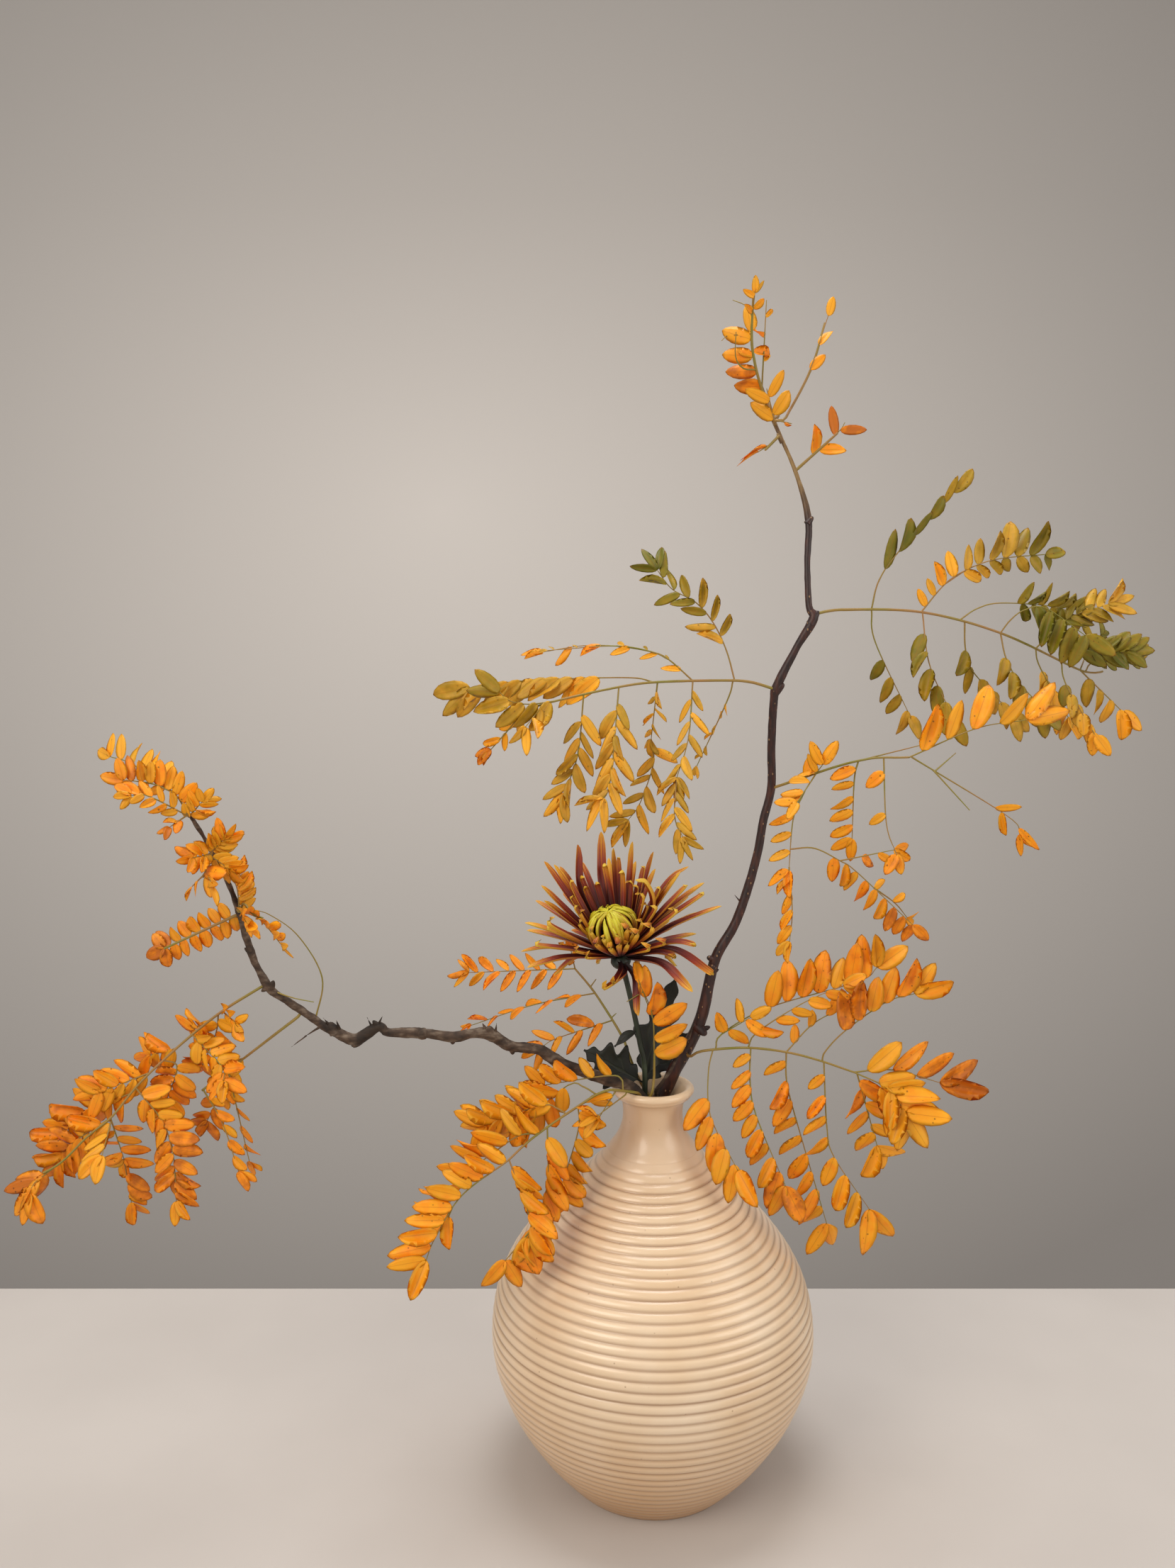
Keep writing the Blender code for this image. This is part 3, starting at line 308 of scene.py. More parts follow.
inward = add_node(turning, "VectorMath", ((0.0, 1.0, 0.0), tangent), operation="CROSS_PRODUCT")
press = add_node(turning, "VectorMath", {0: inward, "Scale": depth}, operation="SCALE")
pressed = add_node(turning, "SetPosition", {"Geometry": sizes["Geometry"], "Offset": press})
count = add_node(turning, "AttributeDomainSize", (pressed,),
    component="CURVE").outputs["Point Count"]
around = add_node(turning, "Math", (sizes["Steps"], 1.0), operation="ADD")
grid = add_node(turning, "MeshGrid", {"Vertices X": around, "Vertices Y": count})
index = add_node(turning, "InputIndex")
row = add_node(turning, "Math", (index, count), operation="MODULO")
angle = index
for operation, by in (("DIVIDE", count), ("FLOOR", 0.0), ("DIVIDE", sizes["Steps"]),
        ("MULTIPLY", 2 * math.pi)):
    angle = add_node(turning, "Math", (angle, by), operation=operation)
position = add_node(turning, "InputPosition")
flat = add_node(turning, "SampleIndex", {"Geometry": pressed, "Value": position, "Index": row},
    data_type="FLOAT_VECTOR")
turned = add_node(turning, "VectorRotate", {"Vector": flat, "Angle": angle}, rotation_type="Z_AXIS")
body = add_node(turning, "SetPosition", {"Geometry": grid, "Position": turned})
groove_share = add_node(turning, "SampleIndex", {"Geometry": sizes["Geometry"], "Value": groove,
    "Index": row}, data_type="FLOAT")
body = add_node(turning, "StoreNamedAttribute", {"Geometry": body, "Name": "groove",
    "Value": groove_share}, data_type="FLOAT", domain="POINT")
body = add_node(turning, "MergeByDistance", {"Geometry": body, "Distance": 1e-6})
body = add_node(turning, "FlipFaces", (body,))  # a grid that is wrapped round faces inwards
end_tree(turning, body, sizes["Glaze"])

# Glazed stoneware: a satin cream glaze over a warm body. It is pale on the ridges, with painted
# shade that makes it darker and browner between them, and it has pinholes about 0.6 mm wide and
# soft clouds.
glaze, tree, shader = new_material("satin_glaze_on_stoneware", IOR=1.5, Coat_Weight=0.5,
    Coat_Roughness=0.18)
spot = add_node(tree, "TexCoord").outputs["Object"]
clouds = add_node(tree, "TexNoise", {"Vector": spot, "Scale": 14.0, "Detail": 4.0})
pale = colour_ramp(tree, clouds, [(0.3, "#D8B892"), (0.5, "#E1C6A4"), (0.7, "#E8D2B6")])
groove = add_node(tree, "Attribute", attribute_name="groove").outputs["Fac"]
# Painted shade in the grooves: darker and browner in the recesses between the ridges.
painted_groove_shade = add_node(tree, "MapRange", (groove, 0.15, 0.85, 0.0, 0.75))
# The glaze is thinnest at the neck, where the body's tan shows through; painted shade makes
# the bottle darker and tanner down by the foot.
up = add_node(tree, "SeparateXYZ", (spot,)).outputs["Z"]
thin_glaze_and_foot_shade = add_node(tree, "MapRange", (up, 0.215, 0.262, 0.0, 0.4))
# Painted shade under the belly: darker and tanner from 110 mm down to the foot.
painted_foot_shade = add_node(tree, "MapRange", (up, 0.11, 0.0, 0.0, 0.85))
lip = add_node(tree, "MapRange", (up, 0.280, 0.286, 1.0, 0.1))
thin_glaze_and_foot_shade = add_node(tree, "Math", (thin_glaze_and_foot_shade, lip), operation="MULTIPLY")
thin_glaze_and_foot_shade = add_node(tree, "Math", (thin_glaze_and_foot_shade, painted_foot_shade), operation="MAXIMUM")
cells = add_node(tree, "TexVoronoi", {"Vector": spot, "Scale": 95.0})
pinhole = add_node(tree, "MapRange", (cells, 0.03, 0.07, 0.55, 0.0))
colour = pale
for share, code in ((painted_groove_shade, "#8E6644"), (thin_glaze_and_foot_shade, "#AE8256"), (pinhole, "#8A6648")):
    colour = add_node(tree, "Mix", {0: share, 6: colour, 7: linear(code)}, data_type="RGBA")
gloss = add_node(tree, "MapRange", (clouds, 0.3, 0.7, 0.30, 0.42))
skin = add_node(tree, "TexNoise", {"Vector": spot, "Scale": 420.0, "Detail": 2.0})
bump = add_node(tree, "Bump", {"Height": skin, "Strength": 0.12, "Distance": 0.2 * MM})
fill(tree, shader, {"Base Color": colour, "Roughness": gloss, "Normal": bump})

outside = smooth_path(BOTTLE_OUTSIDE, 0.78)
profile = np.vstack([smooth_path(BOTTLE_INSIDE, 5.0), outside, [(40.0, 0.0), (0.0, 0.0)]])
profile = np.column_stack([profile[:, 0], 0 * profile[:, 0], profile[:, 1]])
along = lengths_along(profile)
inside_count = len(profile) - len(outside) - 2
ribs_from = along[inside_count + np.argmax(outside[:, 1] < RIBS_BELOW)]
bottle = add_object("bottle", grown(
    turning, curves_through("bottle_profile", [profile]), Steps=BOTTLE_STEPS,
    Rib_pitch=RIB_PITCH * MM, Rib_depth=RIB_DEPTH * MM, Ribs_from=ribs_from * MM,
    Ribs_to=along[-3] * MM, Fade=RIB_FADE * MM, Glaze=glaze))
stand_for(bottle, "vase")


# ---- The branches ----------------------------------------------------------------------
# Two bare branches cut from a thorny tree, and one dry twig. Each stands on the bottle's
# floor and leans on the rim. The long one is grey and knobbly; the tall one has thin, dark
# red-brown bark with pale pores. A knot or a thorn marks each place where a leaf grew.
# Each branch from its cut end, as (across, back, up, radius).
TALL_BRANCH = [
    (-50, 8, 9.4, 5.0), (-33, 8, 122, 5.0), (-14, 8, 236, 5.0), (-3, 8, 263, 5.0),
    (10, 8, 285, 5.0),
    (16, 7, 299, 4.9), (25, 5, 316, 4.6), (35, 0, 342, 4.4), (44, -3, 384, 3.7), (59, -4, 413, 3.3),
    (72, -4, 456, 3.1), (77, -4, 485, 3.0), (82, -5, 508, 2.9), (81, -9, 537, 2.8),
    (81, -17, 569, 2.8),
    (83, -20, 580, 3.2), (95, -23, 605, 2.5), (106, -25, 625, 3.3), (103, -24, 633, 2.3),
    (102, -20, 662, 2.1), (103, -15, 693, 2.3), (95, -10, 724, 1.4), (85, -7, 748, 1.3),
    (79, -5, 762, 1.4), (71, -5, 784, 0.9),
]
LEFT_BRANCH = [
    (47, -8, 9.2, 4.3), (31, -8, 122, 4.3), (14, -8, 236, 4.3), (4, -8, 261, 4.3),
    (-3, -8.5, 275, 4.3), (-12, -10.5, 288, 4.3), (-19, -12.5, 294.4, 4.3), (-24, -14, 296.8, 4.3),
    (-37, -13, 300, 4.3), (-52, -12, 305, 4.2), (-64, -12, 309, 4.4), (-75, -12, 316, 4.4),
    (-84, -12, 321, 3.7), (-102, -12, 323, 3.9), (-117, -13, 332, 4.4), (-130, -14, 333, 3.4),
    (-142, -16, 331, 3.9), (-161, -18, 334, 3.4), (-172, -19, 335, 3.9), (-188, -21, 336, 3.1),
    (-195, -22, 340, 3.6), (-210, -25, 332, 4.4), (-223, -28, 338, 3.6), (-231, -30, 343, 3.0),
    (-248, -34, 357, 2.7), (-260, -38, 367, 2.5), (-266, -40, 373, 2.9), (-273, -42, 388, 2.3),
    (-277, -43, 399, 2.5), (-284, -45, 427, 2.0), (-290, -48, 448, 1.7), (-302, -51, 475, 1.4),
    (-312, -54, 494, 1.2),
]
TWIG = [(5, 8, 276, 1.3), (2, -1, 286, 1.2), (6, -4, 293, 1.2), (14, -5, 306, 1.1),
        (21, -5, 322, 0.9), (25, -5, 327, 1.3), (27, -6, 333, 0.6), (30, -6, 341, 0.2)]
# Knots, spurs and thorns, as (its foot in the branch, its tip, radius at the foot, at the tip).
TALL_SPURS = [
    ((31, 1, 334), (38, -5, 329), 4.2, 2.6), ((33, 1, 330), (41, -1, 334), 2.6, 1.6),
    ((41, -3, 376), (42, -7.5, 381), 3.2, 2.4), ((43, -3, 384), (38, -6, 386), 2.6, 1.7),
    ((40, -2, 372), (46.5, -4, 377), 2.0, 1.2), ((81, -18, 574), (87, -22, 581), 3.4, 2.2),
    ((104, -25, 621), (109, -26, 630), 3.4, 2.0), ((102, -17, 689), (106, -16, 694), 2.6, 1.4),
    ((86, -7, 745), (82, -8, 751), 1.9, 1.1), ((80, -5, 760), (84, -5, 764), 1.8, 0.9),
    ((52, -4, 400), (56.5, -4, 404), 0.7, 0.2), ((62, -4, 425), (57, -5, 431), 0.8, 0.2),
]
LEFT_SPURS = [
    ((-207, -24, 333), (-213, -25, 327), 4.2, 3.0), ((-224, -28, 338), (-228, -30, 345), 4.2, 2.8),
    ((-225, -28, 340), (-231, -33, 350), 1.2, 0.2), ((-221, -28, 340), (-222, -32, 348), 1.4, 0.3),
    ((-193, -22, 339), (-198, -24, 345), 2.6, 1.4), ((-195, -22, 341), (-191, -25, 349), 1.1, 0.2),
    ((-199, -23, 340), (-202, -25, 348), 1.0, 0.2), ((-163, -18, 334), (-167, -22, 335), 4.4, 3.6),
    ((-160, -18, 334), (-154, -21, 333), 1.6, 0.8), ((-143, -16, 331), (-143, -17, 326), 3.0, 1.4),
    ((-116, -13, 332), (-118, -15, 338), 4.0, 2.4), ((-119, -13, 334), (-122, -16, 341), 1.4, 0.3),
    ((-113, -13, 333), (-112, -15, 341), 1.3, 0.3), ((-101, -12, 323), (-101, -13, 317), 3.4, 1.6),
    ((-88, -12, 322), (-86, -14, 326), 2.4, 1.2), ((-72, -12, 314), (-70, -16, 316), 4.4, 3.4),
    ((-64, -12, 309), (-63, -14, 303), 4.4, 2.6), ((-232, -30, 344), (-243, -32, 337), 1.1, 0.5),
    ((-243, -32, 337), (-253.5, -33, 329), 0.6, 0.1), ((-265, -40, 372), (-262, -43, 379), 2.6,
        1.2),
    ((-266, -40, 374), (-271, -42, 371), 2.6, 1.0), ((-276, -43, 398), (-281, -44, 402), 2.4, 0.9),
    ((-284, -45, 426), (-278, -47, 430), 2.2, 0.8), ((-297, -49, 462), (-301, -51, 468), 1.8, 0.6),
]


def spur_run(foot, tip, foot_radius, tip_radius):
    """A knot, a bud or a thorn as a short run that swells from its foot and is round at its tip."""
    run = []
    for share, close in ((0.0, 1.0), (0.3, 1.0), (0.55, 1.0), (0.8, 0.9), (0.94, 0.6), (1.0, 0.15)):
        place = np.array(foot) + (np.array(tip) - foot) * share
        run.append((*place, (foot_radius + (tip_radius - foot_radius) * share) * close))
    return run


# Gives a path its bark: a closed tube as thick as the path says, with lumps.
barking, sizes = new_nodes("stems_along_paths", Sides="Int", Lump_height="Float",
                           Lump_scale="Float", Bark="Material")
ring = add_node(barking, "CurvePrimitiveCircle", {"Resolution": sizes["Sides"], "Radius": 1.0})
radius = add_node(barking, "InputRadius")
stems = add_node(barking, "CurveToMesh", {"Curve": sizes["Geometry"], "Profile Curve": ring,
    "Scale": radius, "Fill Caps": True})
lumps = add_node(barking, "TexNoise", {"Scale": sizes["Lump scale"], "Detail": 2.0})
height = add_node(barking, "MapRange", (lumps, 0.2, 0.8, -1.0, 1.0))
height = add_node(barking, "Math", (height, sizes["Lump height"]), operation="MULTIPLY")
normal = add_node(barking, "InputNormal")
lift = add_node(barking, "VectorMath", {0: normal, "Scale": height}, operation="SCALE")
stems = add_node(barking, "SetPosition", {0: stems, "Offset": lift})
end_tree(barking, stems, sizes["Bark"])

# Young bark: thin, smooth and dark red-brown, with pale raised pores about 1 mm long. Above the
# first leaves it is this year's wood, which is greyer and olive.
young_bark, tree, shader = new_material("thin_red_brown_bark", Roughness=0.48)
spot = add_node(tree, "TexCoord").outputs["Object"]
streaks = add_node(tree, "Mapping", {"Vector": spot, "Scale": (1.0, 1.0, 0.25)})
grain = add_node(tree, "TexNoise", {"Vector": streaks, "Scale": 320.0, "Detail": 5.0})
old = colour_ramp(tree, grain, [(0.3, "#160806"), (0.5, "#2E1410"), (0.7, "#4C2619")])
young = colour_ramp(tree, grain, [(0.3, "#5E4428"), (0.5, "#86683C"), (0.7, "#A08450")])
up = add_node(tree, "SeparateXYZ", (spot,)).outputs["Z"]
youth = add_node(tree, "MapRange", (up, 0.69, 0.73))
colour = add_node(tree, "Mix", {0: youth, 6: old, 7: young}, data_type="RGBA")
squashed = add_node(tree, "Mapping", {"Vector": spot, "Scale": (1.0, 1.0, 0.6)})
pores = add_node(tree, "TexVoronoi", {"Vector": squashed, "Scale": 290.0})
pore = add_node(tree, "MapRange", (pores, 0.10, 0.17, 0.85, 0.0))
colour = add_node(tree, "Mix", {0: pore, 6: colour, 7: linear("#9A7650")}, data_type="RGBA")
rise = add_node(tree, "Math", (grain, pore), operation="ADD")
bump = add_node(tree, "Bump", {"Height": rise, "Strength": 0.5, "Distance": 0.3 * MM})
fill(tree, shader, {"Base Color": colour, "Normal": bump})

# Old bark: dry, rough and grey-brown, nearly black in patches, with fine cracks along it.
old_bark, tree, shader = new_material("rough_grey_bark", Roughness=0.82)
spot = add_node(tree, "TexCoord").outputs["Object"]
streaks = add_node(tree, "Mapping", {"Vector": spot, "Scale": (0.4, 1.0, 1.0)})
grain = add_node(tree, "TexNoise", {"Vector": streaks, "Scale": 260.0, "Detail": 6.0})
patches = add_node(tree, "TexNoise", {"Vector": spot, "Scale": 55.0, "Detail": 3.0})
light = colour_ramp(tree, grain, [(0.3, "#2C1E14"), (0.5, "#4C3A2C"), (0.7, "#786858")])
dark = colour_ramp(tree, grain, [(0.3, "#120B07"), (0.6, "#302216")])
patch = add_node(tree, "MapRange", (patches, 0.48, 0.64))
colour = add_node(tree, "Mix", {0: patch, 6: light, 7: dark}, data_type="RGBA")
bump = add_node(tree, "Bump", {"Height": grain, "Strength": 0.9, "Distance": 0.5 * MM})
fill(tree, shader, {"Base Color": colour, "Normal": bump})

BRANCHES = {  # its points, its knots, the height and the scale of its lumps, its bark and slot
    "tall_branch": (TALL_BRANCH, TALL_SPURS, 0.25, 90.0, young_bark, "dark_bark"),
    "left_branch": (LEFT_BRANCH, LEFT_SPURS, 0.7, 130.0, old_bark, "grey_bark"),
    "bare_twig": (TWIG, [], 0.2, 200.0, old_bark, "grey_bark"),
}
branch_lines = {}
for branch_name, (points, spurs, lump, scale, bark, slot) in BRANCHES.items():
    branch_lines[branch_name] = smooth_path(points, 1.8)
    runs = [branch_lines[branch_name]] + [spur_run(*spur) for spur in spurs]
    branch = add_object(branch_name + "_bark", grown(
        barking, curves_through(branch_name, runs), Sides=14, Lump_height=lump * MM,
        Lump_scale=scale, Bark=bark))
    stand_for(branch, branch_name)


# ---- The compound leaves ---------------------------------------------------------------
# Autumn leaves, each one a long stalk with side stalks (pinnae) that carry rows of thin
# oblong leaflets. Most have turned orange; the upper two are still partly olive and gold.
# A leaf: the branch it grows on, points of its foot (across, back, up), how far back its main
# stalk starts and ends, that stalk as (across, up), and its pinnae. A pinna: its path as
# (across, up), how far back its tip leans from where it starts, the number of leaflets on a
# side, which side, their length, their angle to the stalk, where along it they start and end,
# the turn of the blades about the stalk, their width as a share of their length, the tint of
# the first and of the last, how small those two are, and whether one ends the stalk. A pinna
# with only a path and a lean has lost its leaflets.
Leaf = namedtuple("Leaf", "host foot back_start back_end stalk pinnae")
Pinna = namedtuple("Pinna", "path lean count side length spread first last roll width "
                            "tint_first tint_last small_first small_last ended",
                   defaults=(0, "", 0, 0, 0, 1, 0, 0, 0, 0, 1, 1, True))
LEAVES = {
    # The olive leaf high on the right of the tall branch.
    "tall_leaf_right": ("tall_branch", [], -23, 25, [(108, 628), (126, 631), (184, 630), (244, 616),
        (307, 590), (325, 589)], [
        ([(148, 632), (152, 651), (165, 671), (199, 709)], -10, 5, "L", 26, 18, 0.3, 0.9, 35, 0.32,
         0.1, 0.3, 1, 0.7),
        ([(148, 631), (152, 609), (180, 558)], 15, 4, "R", 20, 45, 0.45, 0.95, 10, 0.42, 0.25, 0.5),
        ([(184, 630), (201, 650), (219, 661), (239, 667), (270, 670)], 5, 10, "L", 27, 66, 0.05,
         0.9, 5, 0.4, 0.8, 0.3, 0.5, 1, False),
        ([(201, 650), (219, 661), (239, 667), (271, 670)], 5, 7, "R", 14, 60, 0.2, 1, 10, 0.5, 0.6,
         0.2),
        ([(185, 629), (188, 594), (202, 558)], -20, 5, "R", 21, 30, 0.2, 0.85, 20, 0.42, 0.22, 0.3),
        ([(213, 625), (226, 633), (244, 637), (284, 635), (302, 629)], 20, 7, "LR", 17, 55, 0.5, 1,
         20, 0.4, 0.2, 0.3),
        ([(216, 623), (219, 605), (226, 589), (258, 559)], 18, 6, "R", 21, 30, 0.25, 1, 0, 0.45,
         0.32, 0.4),
        ([(244, 616), (250, 625), (259, 632), (273, 633), (299, 614)], -12, 5, "R", 24, 75, 0.45, 1,
         10, 0.38, 0.05, 0.2),
        ([(244, 615), (247, 598), (256, 580), (270, 564)], -15, 5, "R", 22, 35, 0.3, 1, 0, 0.45,
         0.42, 0.3),
        ([(271, 605), (294, 626), (326, 637)], 10, 6, "LR", 21, 40, 0.35, 1, -10, 0.32, 0.2, 0.5),
        ([(271, 604), (276, 592), (301, 556)], 12, 6, "R", 19, 38, 0.3, 1, -10, 0.48, 0.45, 0.6),
        ([(290, 597), (303, 603), (334, 603)], -10, 6, "LR", 19, 38, 0.3, 1, 0, 0.4, 0.1, 0.2),
        ([(291, 595), (293, 580), (309, 544)], -22, 6, "R", 16, 28, 0.3, 0.95, 15, 0.5, 0.25, 0.75),
        ([(307, 590), (342, 560)], 8, 4, "R", 21, 45, 0.2, 0.95, 5, 0.42, 0.35, 0.75),
        ([(311, 590), (320, 596), (359, 600)], 25, 4, "LR", 15, 35, 0.35, 1, 0, 0.4, 0.1, 0.3),
        ([(307, 591), (320, 606), (334, 616)], 32, 3, "LR", 18, 50, 0.35, 1, 20, 0.42, 0.3, 0.15),
    ]),
    # The olive and gold leaf on the left of the tall branch.
    "tall_leaf_left": ("tall_branch", [], -20, -70, [(81, 577), (63, 582), (42, 583), (-1, 582),
        (-26, 579), (-68, 570), (-87, 564), (-98, 555)], [
        ([(52, 582), (47, 603), (38, 622), (26, 636), (10, 645), (0, 658)], 10, 7, "LR", 19, 48,
         0.28, 1, 20, 0.3, 0.45, 0.1),
        ([(51, 582), (48, 569), (29, 523)], 20, 4, "LR", 8, 25, 0.25, 1, 50, 0.3, 0.55, 0.5),
        ([(23, 582), (7, 597), (-4, 602), (-29, 606), (-52, 606), (-77, 602)], -8, 6, "L", 16, 28,
         0.1, 1, 30, 0.33, 0.75, 0.85, 0.8),
        ([(7, 597), (-4, 602), (-29, 606), (-74, 603)], -8, 6, "R", 6, 50, 0, 0.95, 50, 0.35, 0.45,
         0.5),
        ([(23, 582), (20, 545), (12, 519)], -15, 5, "LR", 18, 33, 0.1, 1, 40, 0.26, 0.55, 0.5),
        ([(12, 519), (10, 494), (15, 481)], -15, 5, "LR", 18, 38, 0, 1, 15, 0.28, 0.5, 0.5),
        ([(-1, 582), (-4, 543)], 15, 4, "LR", 13, 38, 0.15, 1, 40, 0.24, 0.55, 0.5),
        ([(-4, 543), (-2, 528), (-6, 512), (-12, 496), (-19, 486)], 12, 5, "LR", 21, 34, 0.1, 1, 10,
         0.27, 0.55, 0.5),
        ([(-27, 578), (-31, 530), (-34, 512), (-37, 507)], -18, 7, "LR", 22, 32, 0.15, 1, 20, 0.27,
         0.5, 0.56),
        ([(-50, 574), (-54, 534), (-63, 508)], 8, 6, "LR", 22, 32, 0.2, 1, 20, 0.27, 0.5, 0.56),
        ([(-3, 582), (-22, 585), (-89, 583), (-127, 578)], 12, 11, "L", 27, 36, 0.3, 1, 15, 0.38,
         0.62, 0.42),
        ([(-68, 570), (-85, 568), (-97, 570), (-104, 576)], -14, 5, "L", 23, 38, 0.1, 1, 10, 0.38,
         0.42, 0.38),
        ([(-76, 567), (-87, 554)], -20, 3, "L", 18, 32, 0.2, 1, 0, 0.32, 0.6, 0.6),
        ([(-89, 564), (-111, 538)], 8, 3, "LR", 13, 28, 0.1, 1, 10, 0.42, 0.6, 0.95),
    ]),
    # The orange leaf half way up the right side, which comes forward.
    "tall_leaf_middle": ("tall_branch", [], -5, -60, [(82, 507), (134, 529), (164, 533)], [
        ([(164, 533), (205, 552), (237, 558)], -10, 5, "L", 29, 42, 0.12, 1, 0, 0.36, 0.78, 0.8),
        ([(134, 529), (187, 541)], 10),
        ([(165, 533), (233, 493), (243, 481)], 12, 2, "LR", 18, 34, 0.72, 0.96, 30, 0.3, 0.8, 0.8),
        ([(180, 523), (199, 500)], -20),
        ([(180, 523), (198, 535)], 10),
        ([(103, 516), (109, 519), (113, 526)], -12, 3, "L", 17, 60, 0.1, 1, 0, 0.4, 0.8, 0.75),
        ([(110, 519), (94, 501)], -18, 4, "R", 15, 62, 0, 1, 30, 0.42, 0.75, 0.8),
        ([(102, 507), (92, 490), (88, 456)], -14, 5, "R", 17, 60, 0.1, 1, 20, 0.36, 0.8, 0.78),
        ([(88, 458), (90, 429), (88, 409)], -8, 5, "R", 15, 35, 0.15, 1, 30, 0.36, 0.8, 0.75),
        ([(135, 529), (133, 516), (134, 475)], 10, 6, "R", 18, 58, 0.1, 1, 10, 0.38, 0.8, 0.82),
        ([(150, 532), (150, 489), (156, 469)], -15, 3, "R", 14, 55, 0.15, 1, 0, 0.5, 0.8, 0.85),
        ([(89, 470), (106, 470), (124, 461), (136, 453), (177, 415)], 14, 9, "R", 18, 65, 0.3, 1, 8,
         0.42, 0.85, 0.95),
        ([(124, 461), (163, 467)], 10, 3, "R", 14, 40, 0.4, 1, 0, 0.45, 0.9, 0.85),
        ([(149, 442), (166, 429), (177, 417)], 20, 3, "L", 11, 60, 0, 1, 10, 0.5, 0.78, 0.78),
    ]),
    # The large orange leaf that hangs over the vase's right shoulder.
    "tall_leaf_low_right": ("tall_branch", [], -2, -30, [(26, 312), (32, 316), (44, 319), (67, 322),
        (92, 321), (114, 317), (139, 310)], [
        ([(139, 310), (159, 311), (176, 308), (202, 299)], 10, 4, "L", 32, 38, 0.15, 1, 0, 0.36,
         0.78, 0.95),
        ([(139, 310), (161, 301), (172, 286)], -14, 5, "LR", 28, 45, 0.4, 1, 0, 0.42, 0.85, 0.7),
        ([(43, 318), (39, 306), (38, 285), (42, 270), (57, 244)], -35, 5, "R", 28, 38, 0.4, 0.95, 5,
         0.42, 0.9, 0.85),
        ([(69, 321), (68, 300), (72, 276), (92, 228)], -18, 10, "R", 28, 48, 0.05, 1, 5, 0.42, 0.86,
         0.9, 0.6),
        ([(93, 321), (94, 300), (100, 276), (127, 188)], 14, 10, "R", 29, 48, 0.05, 1, 0, 0.4, 0.86,
         0.8, 0.7),
        ([(118, 315), (121, 270), (126, 249), (151, 212)], -8, 8, "R", 28, 46, 0.08, 1, 0, 0.4,
         0.86, 0.8, 0.6, 1.1),
        ([(141, 309), (160, 251)], 16, 4, "LR", 25, 42, 0.1, 1, 0, 0.42, 0.88, 0.75),
        ([(44, 320), (49, 330), (83, 348), (149, 365), (163, 375)], 16, 8, "L", 28, 62, 0.38, 1, 0,
         0.42, 0.85, 0.82),
        ([(49, 330), (68, 345)], -10, 2, "LR", 18, 75, 0.1, 0.7, 0, 0.45, 0.85, 0.8),
        ([(67, 323), (73, 334), (104, 357), (131, 371)], -14, 6, "R", 17, 40, 0.2, 1, 0, 0.45, 0.85,
         0.8),
        ([(93, 322), (113, 340), (137, 351)], 10, 4, "L", 14, 40, 0.15, 1, 10, 0.5, 0.88, 0.85),
        ([(118, 318), (119, 323), (132, 339), (159, 361), (178, 368)], -12, 6, "L", 27, 45, 0.35, 1,
         0, 0.42, 0.95, 0.82),
    ]),
    # The large orange leaf that crosses the rim and hangs on the left.
    "neck_leaf_left": ("left_branch", [(-9, -10, 285), (-11, -18, 290), (-14, -24, 293.4)], -38,
        -68, [(-28, 300), (-41, 299), (-81, 277), (-101, 262)], [
        ([(-101, 262), (-131, 243), (-148, 218), (-153, 206)], -27, 10, "R", 26, 62, 0.02, 1, 0,
         0.38, 0.82, 0.8, 0.9),
        ([(-136, 236), (-141, 226)], 0, 1, "L", 22, 30, 0.6, 1, 0, 0.42, 0.9, 0.9, 1, 1, False),
        ([(-22, 300), (-24, 306), (-35, 307), (-78, 297)], 14, 5, "R", 20, 50, 0.25, 1, 5, 0.45,
         0.85, 0.85),
        ([(-41, 299), (-50, 303), (-61, 303), (-90, 274)], 20, 4, "LR", 22, 45, 0.4, 1, 0, 0.42,
         0.8, 0.8),
        ([(-61, 287), (-69, 292), (-79, 293), (-118, 277)], 10, 9, "LR", 25, 42, 0.2, 1, 0, 0.4,
         0.78, 0.8),
        ([(-81, 277), (-94, 275), (-110, 263), (-125, 249), (-146, 218)], 14, 9, "R", 26, 55, 0, 1,
         0, 0.38, 0.82, 0.85),
        ([(-54, 293), (-54, 274), (-66, 231)], 8, 7, "L", 21, 58, 0.08, 1, 0, 0.46, 0.78, 0.85),
        ([(-28, 299), (-39, 285)], -10, 2, "R", 20, 40, 0.2, 1, 20, 0.3, 0.78, 0.8),
        ([(-74, 280), (-75, 241), (-84, 211)], -4, 8, "L", 25, 30, 0.1, 1, 0, 0.4, 0.82, 0.88),
        ([(-100, 262), (-89, 235), (-85, 220), (-87, 214)], -12, 7, "L", 24, 32, 0.1, 1, 0, 0.42,
         0.8, 0.85),
        ([(-85, 219), (-102, 200)], -5, 4, "L", 24, 75, 0, 1, 0, 0.42, 0.82, 0.88),
        ([(-19, 298), (-20, 295), (-41, 286)], -20, 2, "R", 17, 45, 0.5, 1, 25, 0.3, 0.78, 0.8),
    ]),
    # The leaf behind the flower, with thin rolled leaflets.
    "neck_leaf_back": ("tall_branch", [(3, 8, 272), (-6, 12, 284), (-12, 15, 295)], 15, 45,
        [(-18, 311), (-23, 322), (-42, 349), (-57, 365)], [
        ([(-57, 365), (-138, 360)], 8, 7, "LR", 18, 48, 0.12, 1, 35, 0.3, 0.85, 0.9),
        ([(-57, 365), (-60, 382)], -10, 2, "LR", 12, 35, 0.3, 1, 10, 0.4, 0.88, 0.88),
        ([(-43, 348), (-88, 338), (-136, 320)], 14, 5, "LR", 15, 22, 0.1, 1, 60, 0.24, 0.85, 0.9),
        ([(-30, 330), (-70, 320), (-80, 315)], -12, 4, "LR", 20, 40, 0.15, 1, 40, 0.3, 0.9, 0.9),
